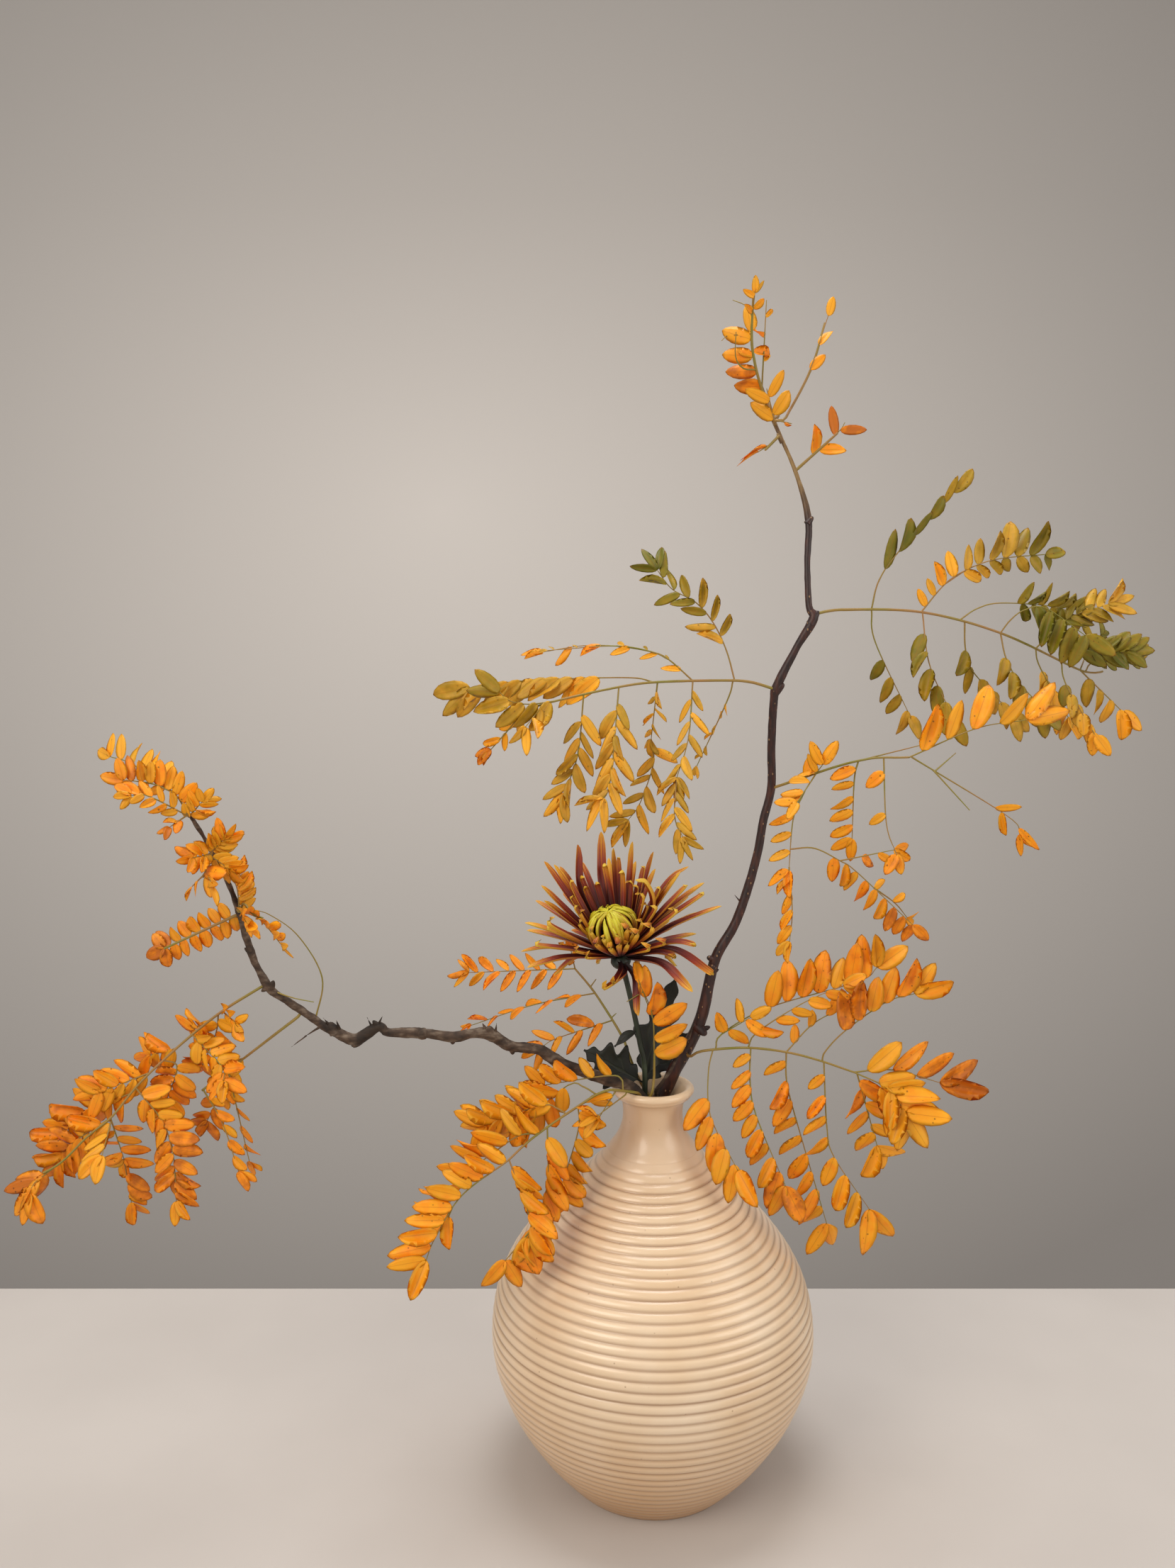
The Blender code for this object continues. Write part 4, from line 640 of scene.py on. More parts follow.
        ([(-43, 355), (-41, 359)], 0),
        ([(-29, 333), (-26, 336)], 0),
    ]),
    # Broad leaflets stacked on one side, in front of the stems.
    "neck_leaf_front": ("left_branch", [(-7, -9, 281), (-2, -16, 289)], -13, -17,
        [(0, 300), (0, 319)], [
        ([(0, 319), (-2, 349), (-11, 372)], -9, 3, "R", 28, 64, 0, 0.42, 0, 0.46, 0.92, 0.86, 1,
         0.95, False),
        ([(-3, 346), (-9, 366)], 0, 2, "R", 23, 30, 0.1, 0.75, 0, 0.5, 0.86, 0.84, 1, 0.9, False),
        ([(-14, 370), (-14, 379)], 10, 1, "R", 18, 5, 0.1, 0.3, 20, 0.4, 0.88, 0.88, 1, 1, False),
        ([(-10, 365), (-20, 358)], 0),
    ]),
    # The leaf that ends the tall branch.
    "tall_leaf_tip": ("tall_branch", [], -5, -30, [(79, 761), (69, 784), (64, 800), (62, 814),
        (62, 842)], [
        ([(75, 770), (64, 801), (62, 816)], -8, 4, "L", 19, 68, 0.25, 0.9, 0, 0.5, 0.95, 0.78),
        ([(65, 798), (65, 823)], 15, 2, "LR", 13, 80, 0.1, 0.8, 35, 0.5, 0.88, 0.8),
        ([(62, 825), (62, 836)], -10, 2, "LR", 10, 50, 0.1, 0.8, 20, 0.45, 0.85, 0.6),
        ([(72, 781), (75, 842)], 12, 2, "R", 8, 35, 0.3, 0.8, 20, 0.45, 0.7, 0.7, 1, 1, False),
        ([(64, 814), (48, 815), (43, 811)], -10),
        ([(66, 791), (57, 791), (51, 797), (50, 811)], -20),
        ([(62, 824), (58, 832), (50, 837)], 10),
    ]),
    # A thin stalk beside the tip with one last leaflet.
    "tall_leaf_tip_right": ("tall_branch", [], -15, 6, [(79, 758), (85, 758), (105, 794),
        (116, 828)], [
        ([(89, 766), (103, 792), (115, 828)], 0, 2, "R", 14, 28, 0.45, 0.7, 0, 0.42, 0.78, 0.75),
        ([(79, 758), (72, 777)], -10, 2, "LR", 20, 45, 0.05, 0.6, 0, 0.45, 0.78, 0.75, 1, 1, False),
        ([(80, 758), (89, 754)], -10, 1, "R", 7, 10, 0.5, 1, 60, 0.3, 0.85, 0.75, 1, 1, False),
    ]),
    # A short leaf below the tip, on the right.
    "tall_leaf_high": ("tall_branch", [], -8, -20, [(95, 726), (121, 749)], [
        ([(97, 729), (123, 751), (128, 758)], 0, 2, "LR", 18, 48, 0.3, 0.75, 0, 0.38, 0.78, 0.98, 1,
         1, False),
    ]),
    # A short leaf below the tip, rolled up, on the left.
    "tall_leaf_curled": ("tall_branch", [], -8, -30, [(83, 749), (71, 736)], [
        ([(76, 742), (67, 736)], 0, 2, "R", 19, 18, 0.3, 0.9, 60, 0.25, 0.9, 0.9, 1, 1, False),
    ]),
    # The long leaf that hangs from the left branch, in fourteen pinnae.
    "left_leaf_long": ("left_branch", [], -40, -95, [(-274, 372), (-296, 359), (-318, 342),
        (-345, 317), (-362, 296), (-375, 286), (-390, 271), (-401, 265)], [
        ([(-390, 272), (-406, 259), (-408, 253)], -8, 4, "LR", 21, 30, 0.45, 1, 10, 0.42, 0.98,
         0.9),
        ([(-362, 295), (-390, 277), (-399, 266)], 5, 7, "LR", 21, 50, 0.1, 1, 0, 0.42, 0.85, 0.95),
        ([(-352, 310), (-385, 295), (-402, 278)], 14, 7, "LR", 23, 48, 0.1, 1, 0, 0.42, 0.85, 0.9),
        ([(-340, 323), (-370, 312)], -8, 5, "LR", 19, 50, 0.1, 1, 0, 0.42, 0.82, 0.85),
        ([(-324, 337), (-345, 329)], 10, 4, "LR", 19, 50, 0.1, 1, 0, 0.44, 0.85, 0.85),
        ([(-305, 351), (-317, 345)], 10, 3, "LR", 18, 55, 0.1, 1, 0, 0.45, 0.85, 0.82),
        ([(-296, 359), (-283, 356)], -15, 3, "LR", 14, 40, 0.1, 1, 0, 0.45, 0.85, 0.78),
        ([(-298, 357), (-302, 342), (-314, 318)], 12, 5, "LR", 16, 65, 0.1, 1, 0, 0.48, 0.8, 0.9),
        ([(-313, 344), (-291, 327), (-289, 319)], -16, 6, "LR", 16, 55, 0.1, 1, 0, 0.48, 0.78,
         0.85),
        ([(-330, 328), (-324, 326), (-327, 314), (-340, 288)], 14, 7, "LR", 17, 62, 0.2, 1, 0, 0.48,
         0.9, 0.8),
        ([(-347, 312), (-330, 292), (-323, 273), (-321, 258)], -8, 8, "LR", 18, 55, 0.1, 1, 0, 0.45,
         0.82, 0.95),
        ([(-321, 258), (-319, 241)], -5, 3, "L", 17, 42, 0.3, 1, 0, 0.42, 0.9, 0.9),
        ([(-361, 294), (-361, 261)], 16, 4, "LR", 18, 62, 0.2, 1, 0, 0.42, 0.9, 0.82),
        ([(-361, 261), (-361, 226)], 10, 4, "L", 18, 40, 0.35, 1, 0, 0.42, 0.9, 0.92),
        ([(-362, 294), (-362, 277)], -18, 4, "R", 19, 45, 0.1, 1, 0, 0.42, 0.85, 0.8),
    ]),
    # The fan of leaflets that ends the left branch.
    "left_leaf_tip": ("left_branch", [], -60, -62, [(-311, 494), (-313, 500)], [
        ([(-313, 500), (-317, 508), (-324, 513), (-333, 517), (-348, 519)], -11, 8, "R", 16, 68,
         0.1, 1, 0, 0.48, 0.78, 0.92),
        ([(-317, 508), (-325, 514), (-346, 518)], 0, 3, "L", 12, 45, 0.3, 1, 0, 0.5, 0.78, 0.8, 1,
         1, False),
        ([(-323, 514), (-351, 528), (-368, 532)], 22, 6, "R", 19, 60, 0.05, 1, 15, 0.42, 0.7, 0.72),
        ([(-311, 494), (-331, 509), (-340, 510)], -22, 5, "LR", 12, 50, 0.2, 1, 30, 0.45, 0.78,
         0.85),
        ([(-312, 495), (-320, 488)], -10, 2, "LR", 10, 25, 0.4, 1, 30, 0.5, 0.9, 0.95, 1, 1, False),
        ([(-308, 493), (-300, 504)], -6, 4, "LR", 13, 50, 0, 1, 30, 0.42, 0.75, 0.75),
    ]),
    # The dried, crumpled leaf below it.
    "left_leaf_crumpled": ("left_branch", [], -58, -66, [(-297, 470), (-297, 464), (-301, 454)], [
        ([(-297, 470), (-288, 479)], -2, 6, "LR", 14, 50, 0, 1, 35, 0.4, 0.72, 0.85),
        ([(-297, 469), (-305, 468)], -12, 4, "LR", 12, 55, 0.1, 1, 20, 0.5, 0.75, 0.9),
        ([(-295, 467), (-285, 459)], 0, 4, "LR", 14, 45, 0.1, 1, 10, 0.45, 0.72, 0.75),
        ([(-300, 458), (-290, 451)], -15, 2, "LR", 19, 25, 0, 0.6, 10, 0.5, 0.85, 0.85, 1, 1,
         False),
        ([(-300, 456), (-310, 447)], 5, 2, "L", 11, 50, 0.5, 1, 45, 0.35, 0.85, 0.85, 1, 1, False),
    ]),
    # Two close rows of narrow leaflets.
    "left_leaf_row": ("left_branch", [], -54, -62, [(-281, 429), (-277, 435), (-273, 430),
        (-263, 426)], [
        ([(-280, 429), (-281, 445), (-284, 453)], -4, 8, "R", 16, 70, 0.05, 1, 55, 0.4, 0.75, 0.8),
        ([(-280, 428), (-271, 427), (-263, 422), (-251, 409)], -10, 8, "L", 14, 65, 0.2, 1, 55,
         0.42, 0.78, 0.75),
        ([(-280, 427), (-270, 425)], -20, 3, "LR", 13, 40, 0.1, 1, 20, 0.5, 0.8, 0.75),
    ]),
    # A small leaf with round leaflets in pairs.
    "left_leaf_paired": ("left_branch", [], -45, -60, [(-285, 425), (-330, 405)], [
        ([(-285, 425), (-335, 402)], 0, 8, "LR", 13, 75, 0.05, 1, 0, 0.62, 0.85, 0.95),
    ]),
    # A thinner leaf behind it, nearer the vase.
    "left_leaf_low": ("left_branch", [], -34, -50, [(-248, 351), (-311, 304)], [
        ([(-283, 325), (-291, 318), (-313, 277)], 8, 6, "LR", 16, 45, 0.05, 1, 10, 0.45, 0.78,
         0.95),
        ([(-311, 305), (-296, 283), (-284, 252)], -12, 6, "L", 14, 25, 0.1, 1, 10, 0.45, 0.85, 0.9),
        ([(-294, 316), (-287, 244)], 20, 5, "L", 15, 22, 0.2, 1, 15, 0.4, 0.85, 0.92),
    ]),
}
STALK_RADII = (1.1, 0.75)
PINNA_RADII = (0.6, 0.28)
# A leaflet one unit long: where its rows of points lie, half its width there and its thickness.
LEAFLET_SHARES = (0.0, 0.05, 0.16, 0.34, 0.56, 0.76, 0.92, 1.0)
LEAFLET_HALF_WIDTHS = (0.05, 0.24, 0.41, 0.5, 0.49, 0.39, 0.21, 0.02)
LEAFLET_HALF_THICK = 0.006
# How far leaflets stray from their row: in angle, in tilt, in length, in width and in tint.
SWING, TILT_LEAST, TILT_MOST = 0.12, (-0.22, -0.30, -0.05), (0.12, 0.30, 0.05)
LENGTHS, WIDTHS, TINT_DRIFT = (0.88, 1.12), (0.88, 1.15), 0.07
ORANGE_TINT = 0.7          # a leaf whose first tint is above this has turned orange
# Stalks without leaflets: one that arches up to the left branch's row, and a withered one.
BARE_STALKS = {"left_leaf_row": [
    [(-237, -31, 347), (-231, -33, 378), (-246, -36, 408), (-264, -41, 424), (-276, -42, 428)],
    [(-264, -40, 371), (-250, -40, 366), (-235.5, -40, 363)],
]}


def closed_blade(name, rows, columns, attributes, place):
    """A blade whose two sides share their edges. place(row, share along, share across, lift) is
    a point; lift is 1 on the upper side, -1 on the lower one and 0 at an edge. Each face is
    wound to point outwards, because a thin blade confuses a recalculation."""
    shape = bmesh.new()
    layers = [shape.verts.layers.float.new(attribute) for attribute in attributes]
    upper = []
    for under in (0, 1):
        grid = []
        for i, t in enumerate(rows):
            line = []
            for j, c in enumerate(columns):
                edge = i in (0, len(rows) - 1) or abs(c) == 1.0
                if under and edge:
                    line.append(upper[i][j])
                    continue
                line.append(shape.verts.new(place(i, t, c, 0 if edge else 1 - 2 * under)))
                for layer, value in zip(layers, (t, c, float(under))):
                    line[-1][layer] = value
            grid.append(line)
        upper = upper or grid
        for a, b in zip(grid, grid[1:]):
            for j in range(len(columns) - 1):
                corners = (a[j], a[j + 1], b[j + 1], b[j])
                shape.faces.new(corners[::-1] if under else corners).smooth = True
    mesh = bpy.data.meshes.new(name)
    shape.to_mesh(mesh)
    shape.free()
    return mesh


def leaflet_mesh(name, fold, arch, cup, twist):
    """A leaflet one unit long and one wide: folded along its midrib, arched along its length,
    cupped at its edges and twisted, by these shares of its size."""
    def place(i, t, c, lift):
        x = LEAFLET_HALF_WIDTHS[i] * c
        z = fold * abs(x) * (1 - t) + arch * t * t + cup * x * x * 4 * t + LEAFLET_HALF_THICK * lift
        turn = twist * t
        return (x * math.cos(turn) - z * math.sin(turn), t, x * math.sin(turn) + z * math.cos(turn))
    return closed_blade(name, LEAFLET_SHARES, (-1.0, -0.5, 0.0, 0.5, 1.0), ("along", "across"),
        place)


leaflet_shapes = bpy.data.collections.new("leaflet_shapes")
for name, bends in {"flat": (0.10, -0.04, 0.0, 0.05), "folded": (0.34, -0.12, 0.0, -0.15),
                    "arched": (0.12, -0.26, -0.25, 0.12), "cupped": (0.2, 0.14, 0.5, -0.25),
                    "turned": (0.2, -0.10, 0.2, 0.45)}.items():
    leaflet_shapes.objects.link(bpy.data.objects.new("leaflet_" + name, leaflet_mesh(name, *bends)))

# Sets rows of leaflets on a stalk: one row on each side that has leaflets, and one at the end.
leafing, sizes = new_nodes(
    "leaflets_along_a_stalk", Count="Int", Length="Float", Width="Float", Angle="Float",
    First="Float", Last="Float", Turn="Float", Left="Bool", Right="Bool", End="Bool",
    Small_first="Float", Small_last="Float", Tint_first="Float", Tint_last="Float", Seed="Int",
    Shapes="Collection", Blade="Material")
shapes = add_node(leafing, "CollectionInfo", {"Collection": sizes["Shapes"],
    "Separate Children": True, "Reset Children": True})
index = add_node(leafing, "InputIndex")
gaps = add_node(leafing, "Math", (sizes["Count"], 1.0), operation="SUBTRACT")
gaps = add_node(leafing, "Math", (gaps, 1.0), operation="MAXIMUM")
share = add_node(leafing, "Math", (index, gaps), operation="DIVIDE")
rows = []
for side, wanted in ((1, "Left"), (-1, "Right"), (0, "End")):
    seed = add_node(leafing, "Math", (sizes["Seed"], 7.0 * side), operation="ADD")
    count = sizes["Count"] if side else 1
    at, part = 1.0, 1.0
    if side:
        part = share
        at = add_node(leafing, "MapRange", (share, 0.0, 1.0, sizes["First"], sizes["Last"]),
            clamp=False)
    if side < 0:  # this row stands half a gap on from the other one, if there is another
        span = add_node(leafing, "Math", (sizes["Last"], sizes["First"]), operation="SUBTRACT")
        half = add_node(leafing, "Math", (span, sizes["Count"]), operation="DIVIDE")
        half = add_node(leafing, "Math", (half, sizes["Left"]), operation="MULTIPLY")
        at = add_node(leafing, "Math", (half, 0.5, at), operation="MULTIPLY_ADD")
    at = add_node(leafing, "Math", (at, 1.0), operation="MINIMUM")
    place = add_node(leafing, "SampleCurve", {"Curves": sizes["Geometry"], "Factor": at},
        mode="FACTOR", use_all_curves=True)
    ahead = place.outputs["Tangent"]
    parts = add_node(leafing, "SeparateXYZ", (ahead,))
    down = add_node(leafing, "Math", (parts.outputs["Z"], -1.0), operation="MULTIPLY")
    beside = add_node(leafing, "CombineXYZ", {"X": down, "Z": parts.outputs["X"]})
    beside = add_node(leafing, "VectorMath", (beside,), operation="NORMALIZE")
    beside = add_node(leafing, "VectorRotate", {"Vector": beside, "Axis": ahead,
        "Angle": sizes["Turn"]}, rotation_type="AXIS_ANGLE")
    facing = add_node(leafing, "VectorMath", (ahead, beside), operation="CROSS_PRODUCT")
    swing = add_node(leafing, "RandomValue", {2: -SWING, 3: SWING, "Seed": seed})
    angle = add_node(leafing, "Math", (sizes["Angle"], float(side), swing),
        operation="MULTIPLY_ADD")
    heading = add_node(leafing, "VectorRotate", {"Vector": ahead, "Axis": facing, "Angle": angle},
        rotation_type="AXIS_ANGLE")
    turned = add_node(leafing, "AxesToRotation", (facing, heading), primary_axis="Z",
        secondary_axis="Y")
    tilt = add_node(leafing, "RandomValue", {0: TILT_LEAST, 1: TILT_MOST, "Seed": seed},
        data_type="FLOAT_VECTOR")
    tilt = add_node(leafing, "EulerToRotation", (tilt,))
    turned = add_node(leafing, "RotateRotation", (turned, tilt), rotation_space="LOCAL")
    size = add_node(leafing, "MapRange", (part, 0.0, 1.0, sizes["Small first"],
        sizes["Small last"]))
    vary = add_node(leafing, "RandomValue", {2: LENGTHS[0], 3: LENGTHS[1], "Seed": seed})
    size = add_node(leafing, "Math", (size, vary), operation="MULTIPLY")
    size = add_node(leafing, "Math", (size, sizes["Length"]), operation="MULTIPLY")
    vary = add_node(leafing, "RandomValue", {2: WIDTHS[0], 3: WIDTHS[1], "Seed": index})
    wide = add_node(leafing, "Math", (size, sizes["Width"]), operation="MULTIPLY")
    wide = add_node(leafing, "Math", (wide, vary), operation="MULTIPLY")
    scale = add_node(leafing, "CombineXYZ", (wide, size, size))
    points = add_node(leafing, "Points", {"Count": count, "Position": place.outputs["Position"]})
    pick = add_node(leafing, "RandomValue", {4: 0, 5: 4, "Seed": seed}, data_type="INT")
    row = add_node(leafing, "InstanceOnPoints", {"Points": points, "Instance": shapes,
        "Pick Instance": True, "Instance Index": pick, "Rotation": turned, "Scale": scale})
    tint = add_node(leafing, "MapRange", (part, 0.0, 1.0, sizes["Tint first"], sizes["Tint last"]))
    drift = add_node(leafing, "RandomValue", {2: -TINT_DRIFT, 3: TINT_DRIFT, "Seed": seed})
    tint = add_node(leafing, "Math", (tint, drift), operation="ADD")
    luck = add_node(leafing, "RandomValue", {2: 0.0, 3: 1.0, "Seed": seed})
    for attribute, value in (("tint", tint), ("luck", luck)):
        row = add_node(leafing, "StoreNamedAttribute", {"Geometry": row, "Name": attribute,
            "Value": value}, data_type="FLOAT", domain="INSTANCE")
    rows.append(add_node(leafing, "Switch", {"Switch": sizes[wanted], "True": row},
        input_type="GEOMETRY"))
blades = add_node(leafing, "JoinGeometry", (rows,))
end_tree(leafing, blades, sizes["Blade"])

# Autumn leaflet: thin and dry, with a dull surface and some light through it. Its tint runs from
# olive to gold, orange and burnt orange. The midrib is darker, the rim is browner, and there
# are small brown specks a few millimetres apart.
leaflet, tree, shader = new_material("autumn_leaflet", Roughness=0.5)
spot = add_node(tree, "TexCoord").outputs["Object"]
tint, luck, along, across = (
    add_node(tree, "Attribute", attribute_name=attribute).outputs["Fac"]
    for attribute in ("tint", "luck", "along", "across"))
clouds = add_node(tree, "TexNoise", {"Vector": spot, "Scale": 130.0, "Detail": 3.0})
cloud = add_node(tree, "MapRange", (clouds, 0.3, 0.7, -0.07, 0.07))
tint = add_node(tree, "Math", (tint, cloud), operation="ADD")
colour = colour_ramp(tree, tint, [(0.0, "#626C14"), (0.2, "#968618"), (0.36, "#C09A1C"),
    (0.52, "#ECB838"), (0.66, "#FFC02A"), (0.80, "#FFB81A"), (0.92, "#FFA210"), (1.0, "#D47814")])
shade = add_node(tree, "MapRange", (luck, 0.0, 1.0, 0.9, 1.06))
colour = add_node(tree, "VectorMath", {0: colour, "Scale": shade}, operation="SCALE")
off = add_node(tree, "Math", (across,), operation="ABSOLUTE")
midrib = add_node(tree, "MapRange", (off, 0.02, 0.07, 0.4, 0.0))
rim = add_node(tree, "MapRange", (off, 0.90, 1.0, 0.0, 0.4))
tip = add_node(tree, "MapRange", (along, 0.88, 1.0, 0.0, 0.5))
rim = add_node(tree, "Math", (rim, tip), operation="MAXIMUM")
specks = add_node(tree, "TexVoronoi", {"Vector": spot, "Scale": 210.0})
speck = add_node(tree, "MapRange", (specks, 0.10, 0.16, 0.6, 0.0))
few = add_node(tree, "MapRange", (luck, 0.45, 0.8))
speck = add_node(tree, "Math", (speck, few), operation="MULTIPLY")
for share, code in ((midrib, "#C27410"), (rim, "#A85A0C"), (speck, "#5A2A0A")):
    colour = add_node(tree, "Mix", {0: share, 6: colour, 7: linear(code)}, data_type="RGBA")
fill(tree, shader, {"Base Color": colour})
through = add_node(tree, "BsdfTranslucent", {"Color": colour})
mixed = add_node(tree, "MixShader", (0.3, shader, through))
fill(tree, tree.nodes["Material Output"], {"Surface": mixed})

# Leaf stalk: tough and smooth, olive where it is fresh and tan where it has dried.
stalk_green, tree, shader = new_material("leaf_stalk", Roughness=0.5)
spot = add_node(tree, "TexCoord").outputs["Object"]
drying = add_node(tree, "TexNoise", {"Vector": spot, "Scale": 28.0, "Detail": 4.0})
fill(tree, shader, {"Base Color": colour_ramp(tree, drying, [(0.35, "#7A7424"), (0.5, "#8C7430"),
    (0.68, "#9A6F3C")])})


def clear_of(path, host):
    """The part of a path past which it is outside the host branch's bark."""
    apart = [np.linalg.norm(host[:, :3] - place, axis=1) - host[:, 3] for place in path]
    inside = [i for i, distances in enumerate(apart) if distances.min() < 0.0]
    return path[max(inside[-1] - 2, 0):] if inside else path


def stalk_path(leaf, host):
    """A leaf's main stalk from its foot at the branch to its tip."""
    flat = smooth_path(leaf.stalk, 2.0)
    back = np.linspace(leaf.back_start, leaf.back_end, len(flat))
    path = np.column_stack([flat[:, 0], back, flat[:, 1]])
    foot = leaf.foot or [host[np.linalg.norm(host[:, :3] - path[0], axis=1).argmin(), :3]]
    return clear_of(smooth_path(np.vstack([foot, path[::4], path[-1:]]), 1.0), host)


def pinna_path(pinna, stalks):
    """A pinna's path, starting on the nearest stalk that the leaf already has."""
    start = pinna.path[0]
    parents = np.vstack(stalks)
    nearest = parents[np.hypot(parents[:, 0] - start[0], parents[:, 2] - start[1]).argmin()]
    flat = smooth_path([(nearest[0], nearest[2])] + pinna.path[1:], 1.0)
    share = lengths_along(flat)
    back = nearest[1] + pinna.lean * share / share[-1]
    return np.column_stack([flat[:, 0], back, flat[:, 1]])


def with_radii(path, radii, step):
    """Every few places of the path, thinning evenly from the first radius to the second."""
    path = np.vstack([path[:-1:step], path[-1:]])
    return np.column_stack([path, np.linspace(*radii, len(path))])


def joined(name, meshes):
    """One piece made of several meshes."""
    parts = [add_object(name, mesh) for mesh in meshes]
    with bpy.context.temp_override(active_object=parts[0], object=parts[0], selected_objects=parts,
                                   selected_editable_objects=parts):
        bpy.ops.object.join()
    parts[0].name = parts[0].data.name = name
    return parts[0]


for leaf_number, (leaf_name, leaf_row) in enumerate(LEAVES.items()):
    leaf = Leaf(*leaf_row)
    pinnae = [Pinna(*row) for row in leaf.pinnae]
    stalks = [stalk_path(leaf, branch_lines[leaf.host])]
    runs = [with_radii(stalks[0], STALK_RADII, 4)]
    meshes = []
    for number, pinna in enumerate(pinnae):
        path = pinna_path(pinna, stalks)
        stalks.append(path)
        runs.append(with_radii(path, PINNA_RADII, 3))
        if pinna.count:
            meshes.append(grown(
                leafing, curves_through(leaf_name, [path]), Count=pinna.count,
                Length=pinna.length * MM,
                Width=pinna.width, Angle=math.radians(pinna.spread), First=pinna.first,
                Last=pinna.last,
                Turn=math.radians(pinna.roll), Left="L" in pinna.side, Right="R" in pinna.side,
                End=pinna.ended, Small_first=pinna.small_first, Small_last=pinna.small_last,
                Tint_first=pinna.tint_first, Tint_last=pinna.tint_last,
                Seed=31 * leaf_number + number,
                Shapes=leaflet_shapes, Blade=leaflet))
    for bare in BARE_STALKS.get(leaf_name, []):
        runs.append(with_radii(smooth_path(bare, 2.0), PINNA_RADII, 2))
    meshes.append(grown(barking, curves_through(leaf_name, runs), Sides=6, Lump_height=0.08 * MM,
                        Lump_scale=300.0, Bark=stalk_green))
    piece = joined(leaf_name + "_leaflets", meshes)
    slot = "orange_leaf" if pinnae[0].tint_first > ORANGE_TINT else "gold_leaf"
    stand_for(piece, leaf_name)
for shape in list(leaflet_shapes.objects):
    bpy.data.objects.remove(shape)
bpy.data.collections.remove(leaflet_shapes)


# ---- The chrysanthemum -----------------------------------------------------------------
# A spider chrysanthemum on its own green stem. Its long narrow petals are rolled into gutters,
# dark red inside and gold outside. Round its heart the young petals still curl over one another.
# The flower's seat on its stem, and the way it faces.
FLOWER = np.array([-23.7, -5.0, 384.0])
FLOWER_AXIS = np.array([-6.8, -9.0, 26.6]) / 28.9
# Petals of each piece, as (across, back, up) of the tip from the seat, width, how far the tip
# hooks in, and for some the (across, back, up) of a place where the petal bends.
PETALS = {
    "mum_petals_lower": [
        (12, -20, -35, 6.5, 0, (11, -12, -13)), (-12, -25, -15, 5, 6, (3, -12, -7)),
        (-6, -29, -10, 4.5, 5, (0, -14, -4)), (49, -27, -16, 7, 0, (29, -12, -1)),
        (65, -10, -8, 6, 4, (36, -5, 8)), (-66, -15, -2, 5.5, 0, (-39, -8, 3)),
        (-48, 22, -17, 5, 0, (-30, 12, -1)), (16, 40, -21, 5, 0, (12, 24, -2)),
        (-16, 50, -15, 5.5, 3, (-8, 30, 2)), (42, 26, -11, 5, 0, (28, 15, 4)),
    ],
    "mum_petals_outer": [
        (-71, 0, 6, 4.5, 0, (-47, -2, 9)), (-68, -6, 28, 5, 0, (-36, -4, 17)),
        (52, -16, 14, 5, 4, (36, -8, 14)), (57, 12, 32, 4, 0), (72, 4, 38, 4.5, 0, (38, 2, 24)),
        (-60, -20, 15, 5, 5), (-51, -26, 31, 6, 6), (30, -24, 17, 5, 7),
        (19, -29, 14, 4.5, 7), (-68, 20, 17, 5, 0), (-56, 42, 13, 5, 0),
        (-36, 58, 9, 5, 0), (-10, 66, 11, 5, 0), (18, 62, 7, 5, 0),
        (40, 46, 13, 5, 0), (56, 26, 13, 5, 0), (-44, -8, 11, 4.5, 5),
        (38, -14, 5, 5, 5, (26, -9, 7)),
    ],
    "mum_petals_middle": [
        (49, 14, 65, 4, 0, (32, 9, 52)), (43, 9, 62, 4.5, 0), (47, -1, 54, 5, 3),
        (60, 9, 54, 5, 0, (36, 5, 36)), (59, 2, 47, 5, 4), (-55, 9, 41, 5, 0),
        (-57, 9, 52, 5, 0), (-55, 12, 69, 5.5, 0), (-48, 16, 66, 5, 0),
        (39, -16, 38, 5, 6), (22, -26, 27, 5.5, 8), (-29, -16, 36, 5, 4),
        (-62, 30, 37, 5, 0), (-42, 48, 39, 5, 0), (-18, 58, 37, 5, 0),
        (10, 58, 39, 5, 0), (32, 44, 37, 5, 0), (50, 24, 41, 5, 0),
        (25, -12, 40, 5, 5), (-32, -26, 12, 4.5, 4), (11, -30, 24, 5, 7),
        (4, -29, 27, 4.5, 7), (-25, -24, 7, 4.5, 5), (-2, -32, 17, 4.5, 7),
        (-18, -30, 17, 4.5, 6), (-52, -12, 25, 4.5, 4), (34, -4, 29, 4.5, 3),
    ],
    "mum_petals_inner": [
        (-2, -27, 22, 4.5, 5), (-13, -27, 20, 4.5, 4), (8, -25, 23, 4.5, 5),
        (-22, -22, 24, 4.5, 5), (-30, -13, 28, 4.5, 5), (15, -17, 30, 4.5, 5),
        (-33, -3, 38, 4.5, 4), (19, -7, 40, 4.5, 5), (-8, -29, 14, 4.5, 6),
        (4, -28, 16, 4.5, 5), (-26, 7, 50, 4.5, 5), (12, 4, 52, 4.5, 5),
        (-14, 16, 90, 7, 0, (-12, 10, 48)), (-31, 14, 81, 6.5, 0, (-28, 10, 46)),
        (9, 22, 82, 5, 0), (-5, 24, 77, 4.5, 0), (-1, 18, 71, 4.5, 3),
        (24, 19, 75, 4.5, 0), (-36, -4, 56, 5, 4), (17, 9, 66, 5, 3),
        (18, -8, 58, 6, 8, (23, -4, 38)), (16, -10, 48, 5, 6), (28, 2, 51, 5, 4),
        (-44, 26, 63, 5, 0), (-28, 36, 65, 5, 0), (-8, 40, 67, 5, 0),
        (12, 38, 65, 5, 0), (26, 28, 61, 5, 0), (-36, 2, 45, 5, 3),
        (-11, 8, 66, 5, 6), (-17, 2, 54, 4.5, 8), (2, 10, 61, 4.5, 6),
        (-28, 8, 57, 4.5, 6), (8, 2, 55, 4.5, 6),
    ],
}
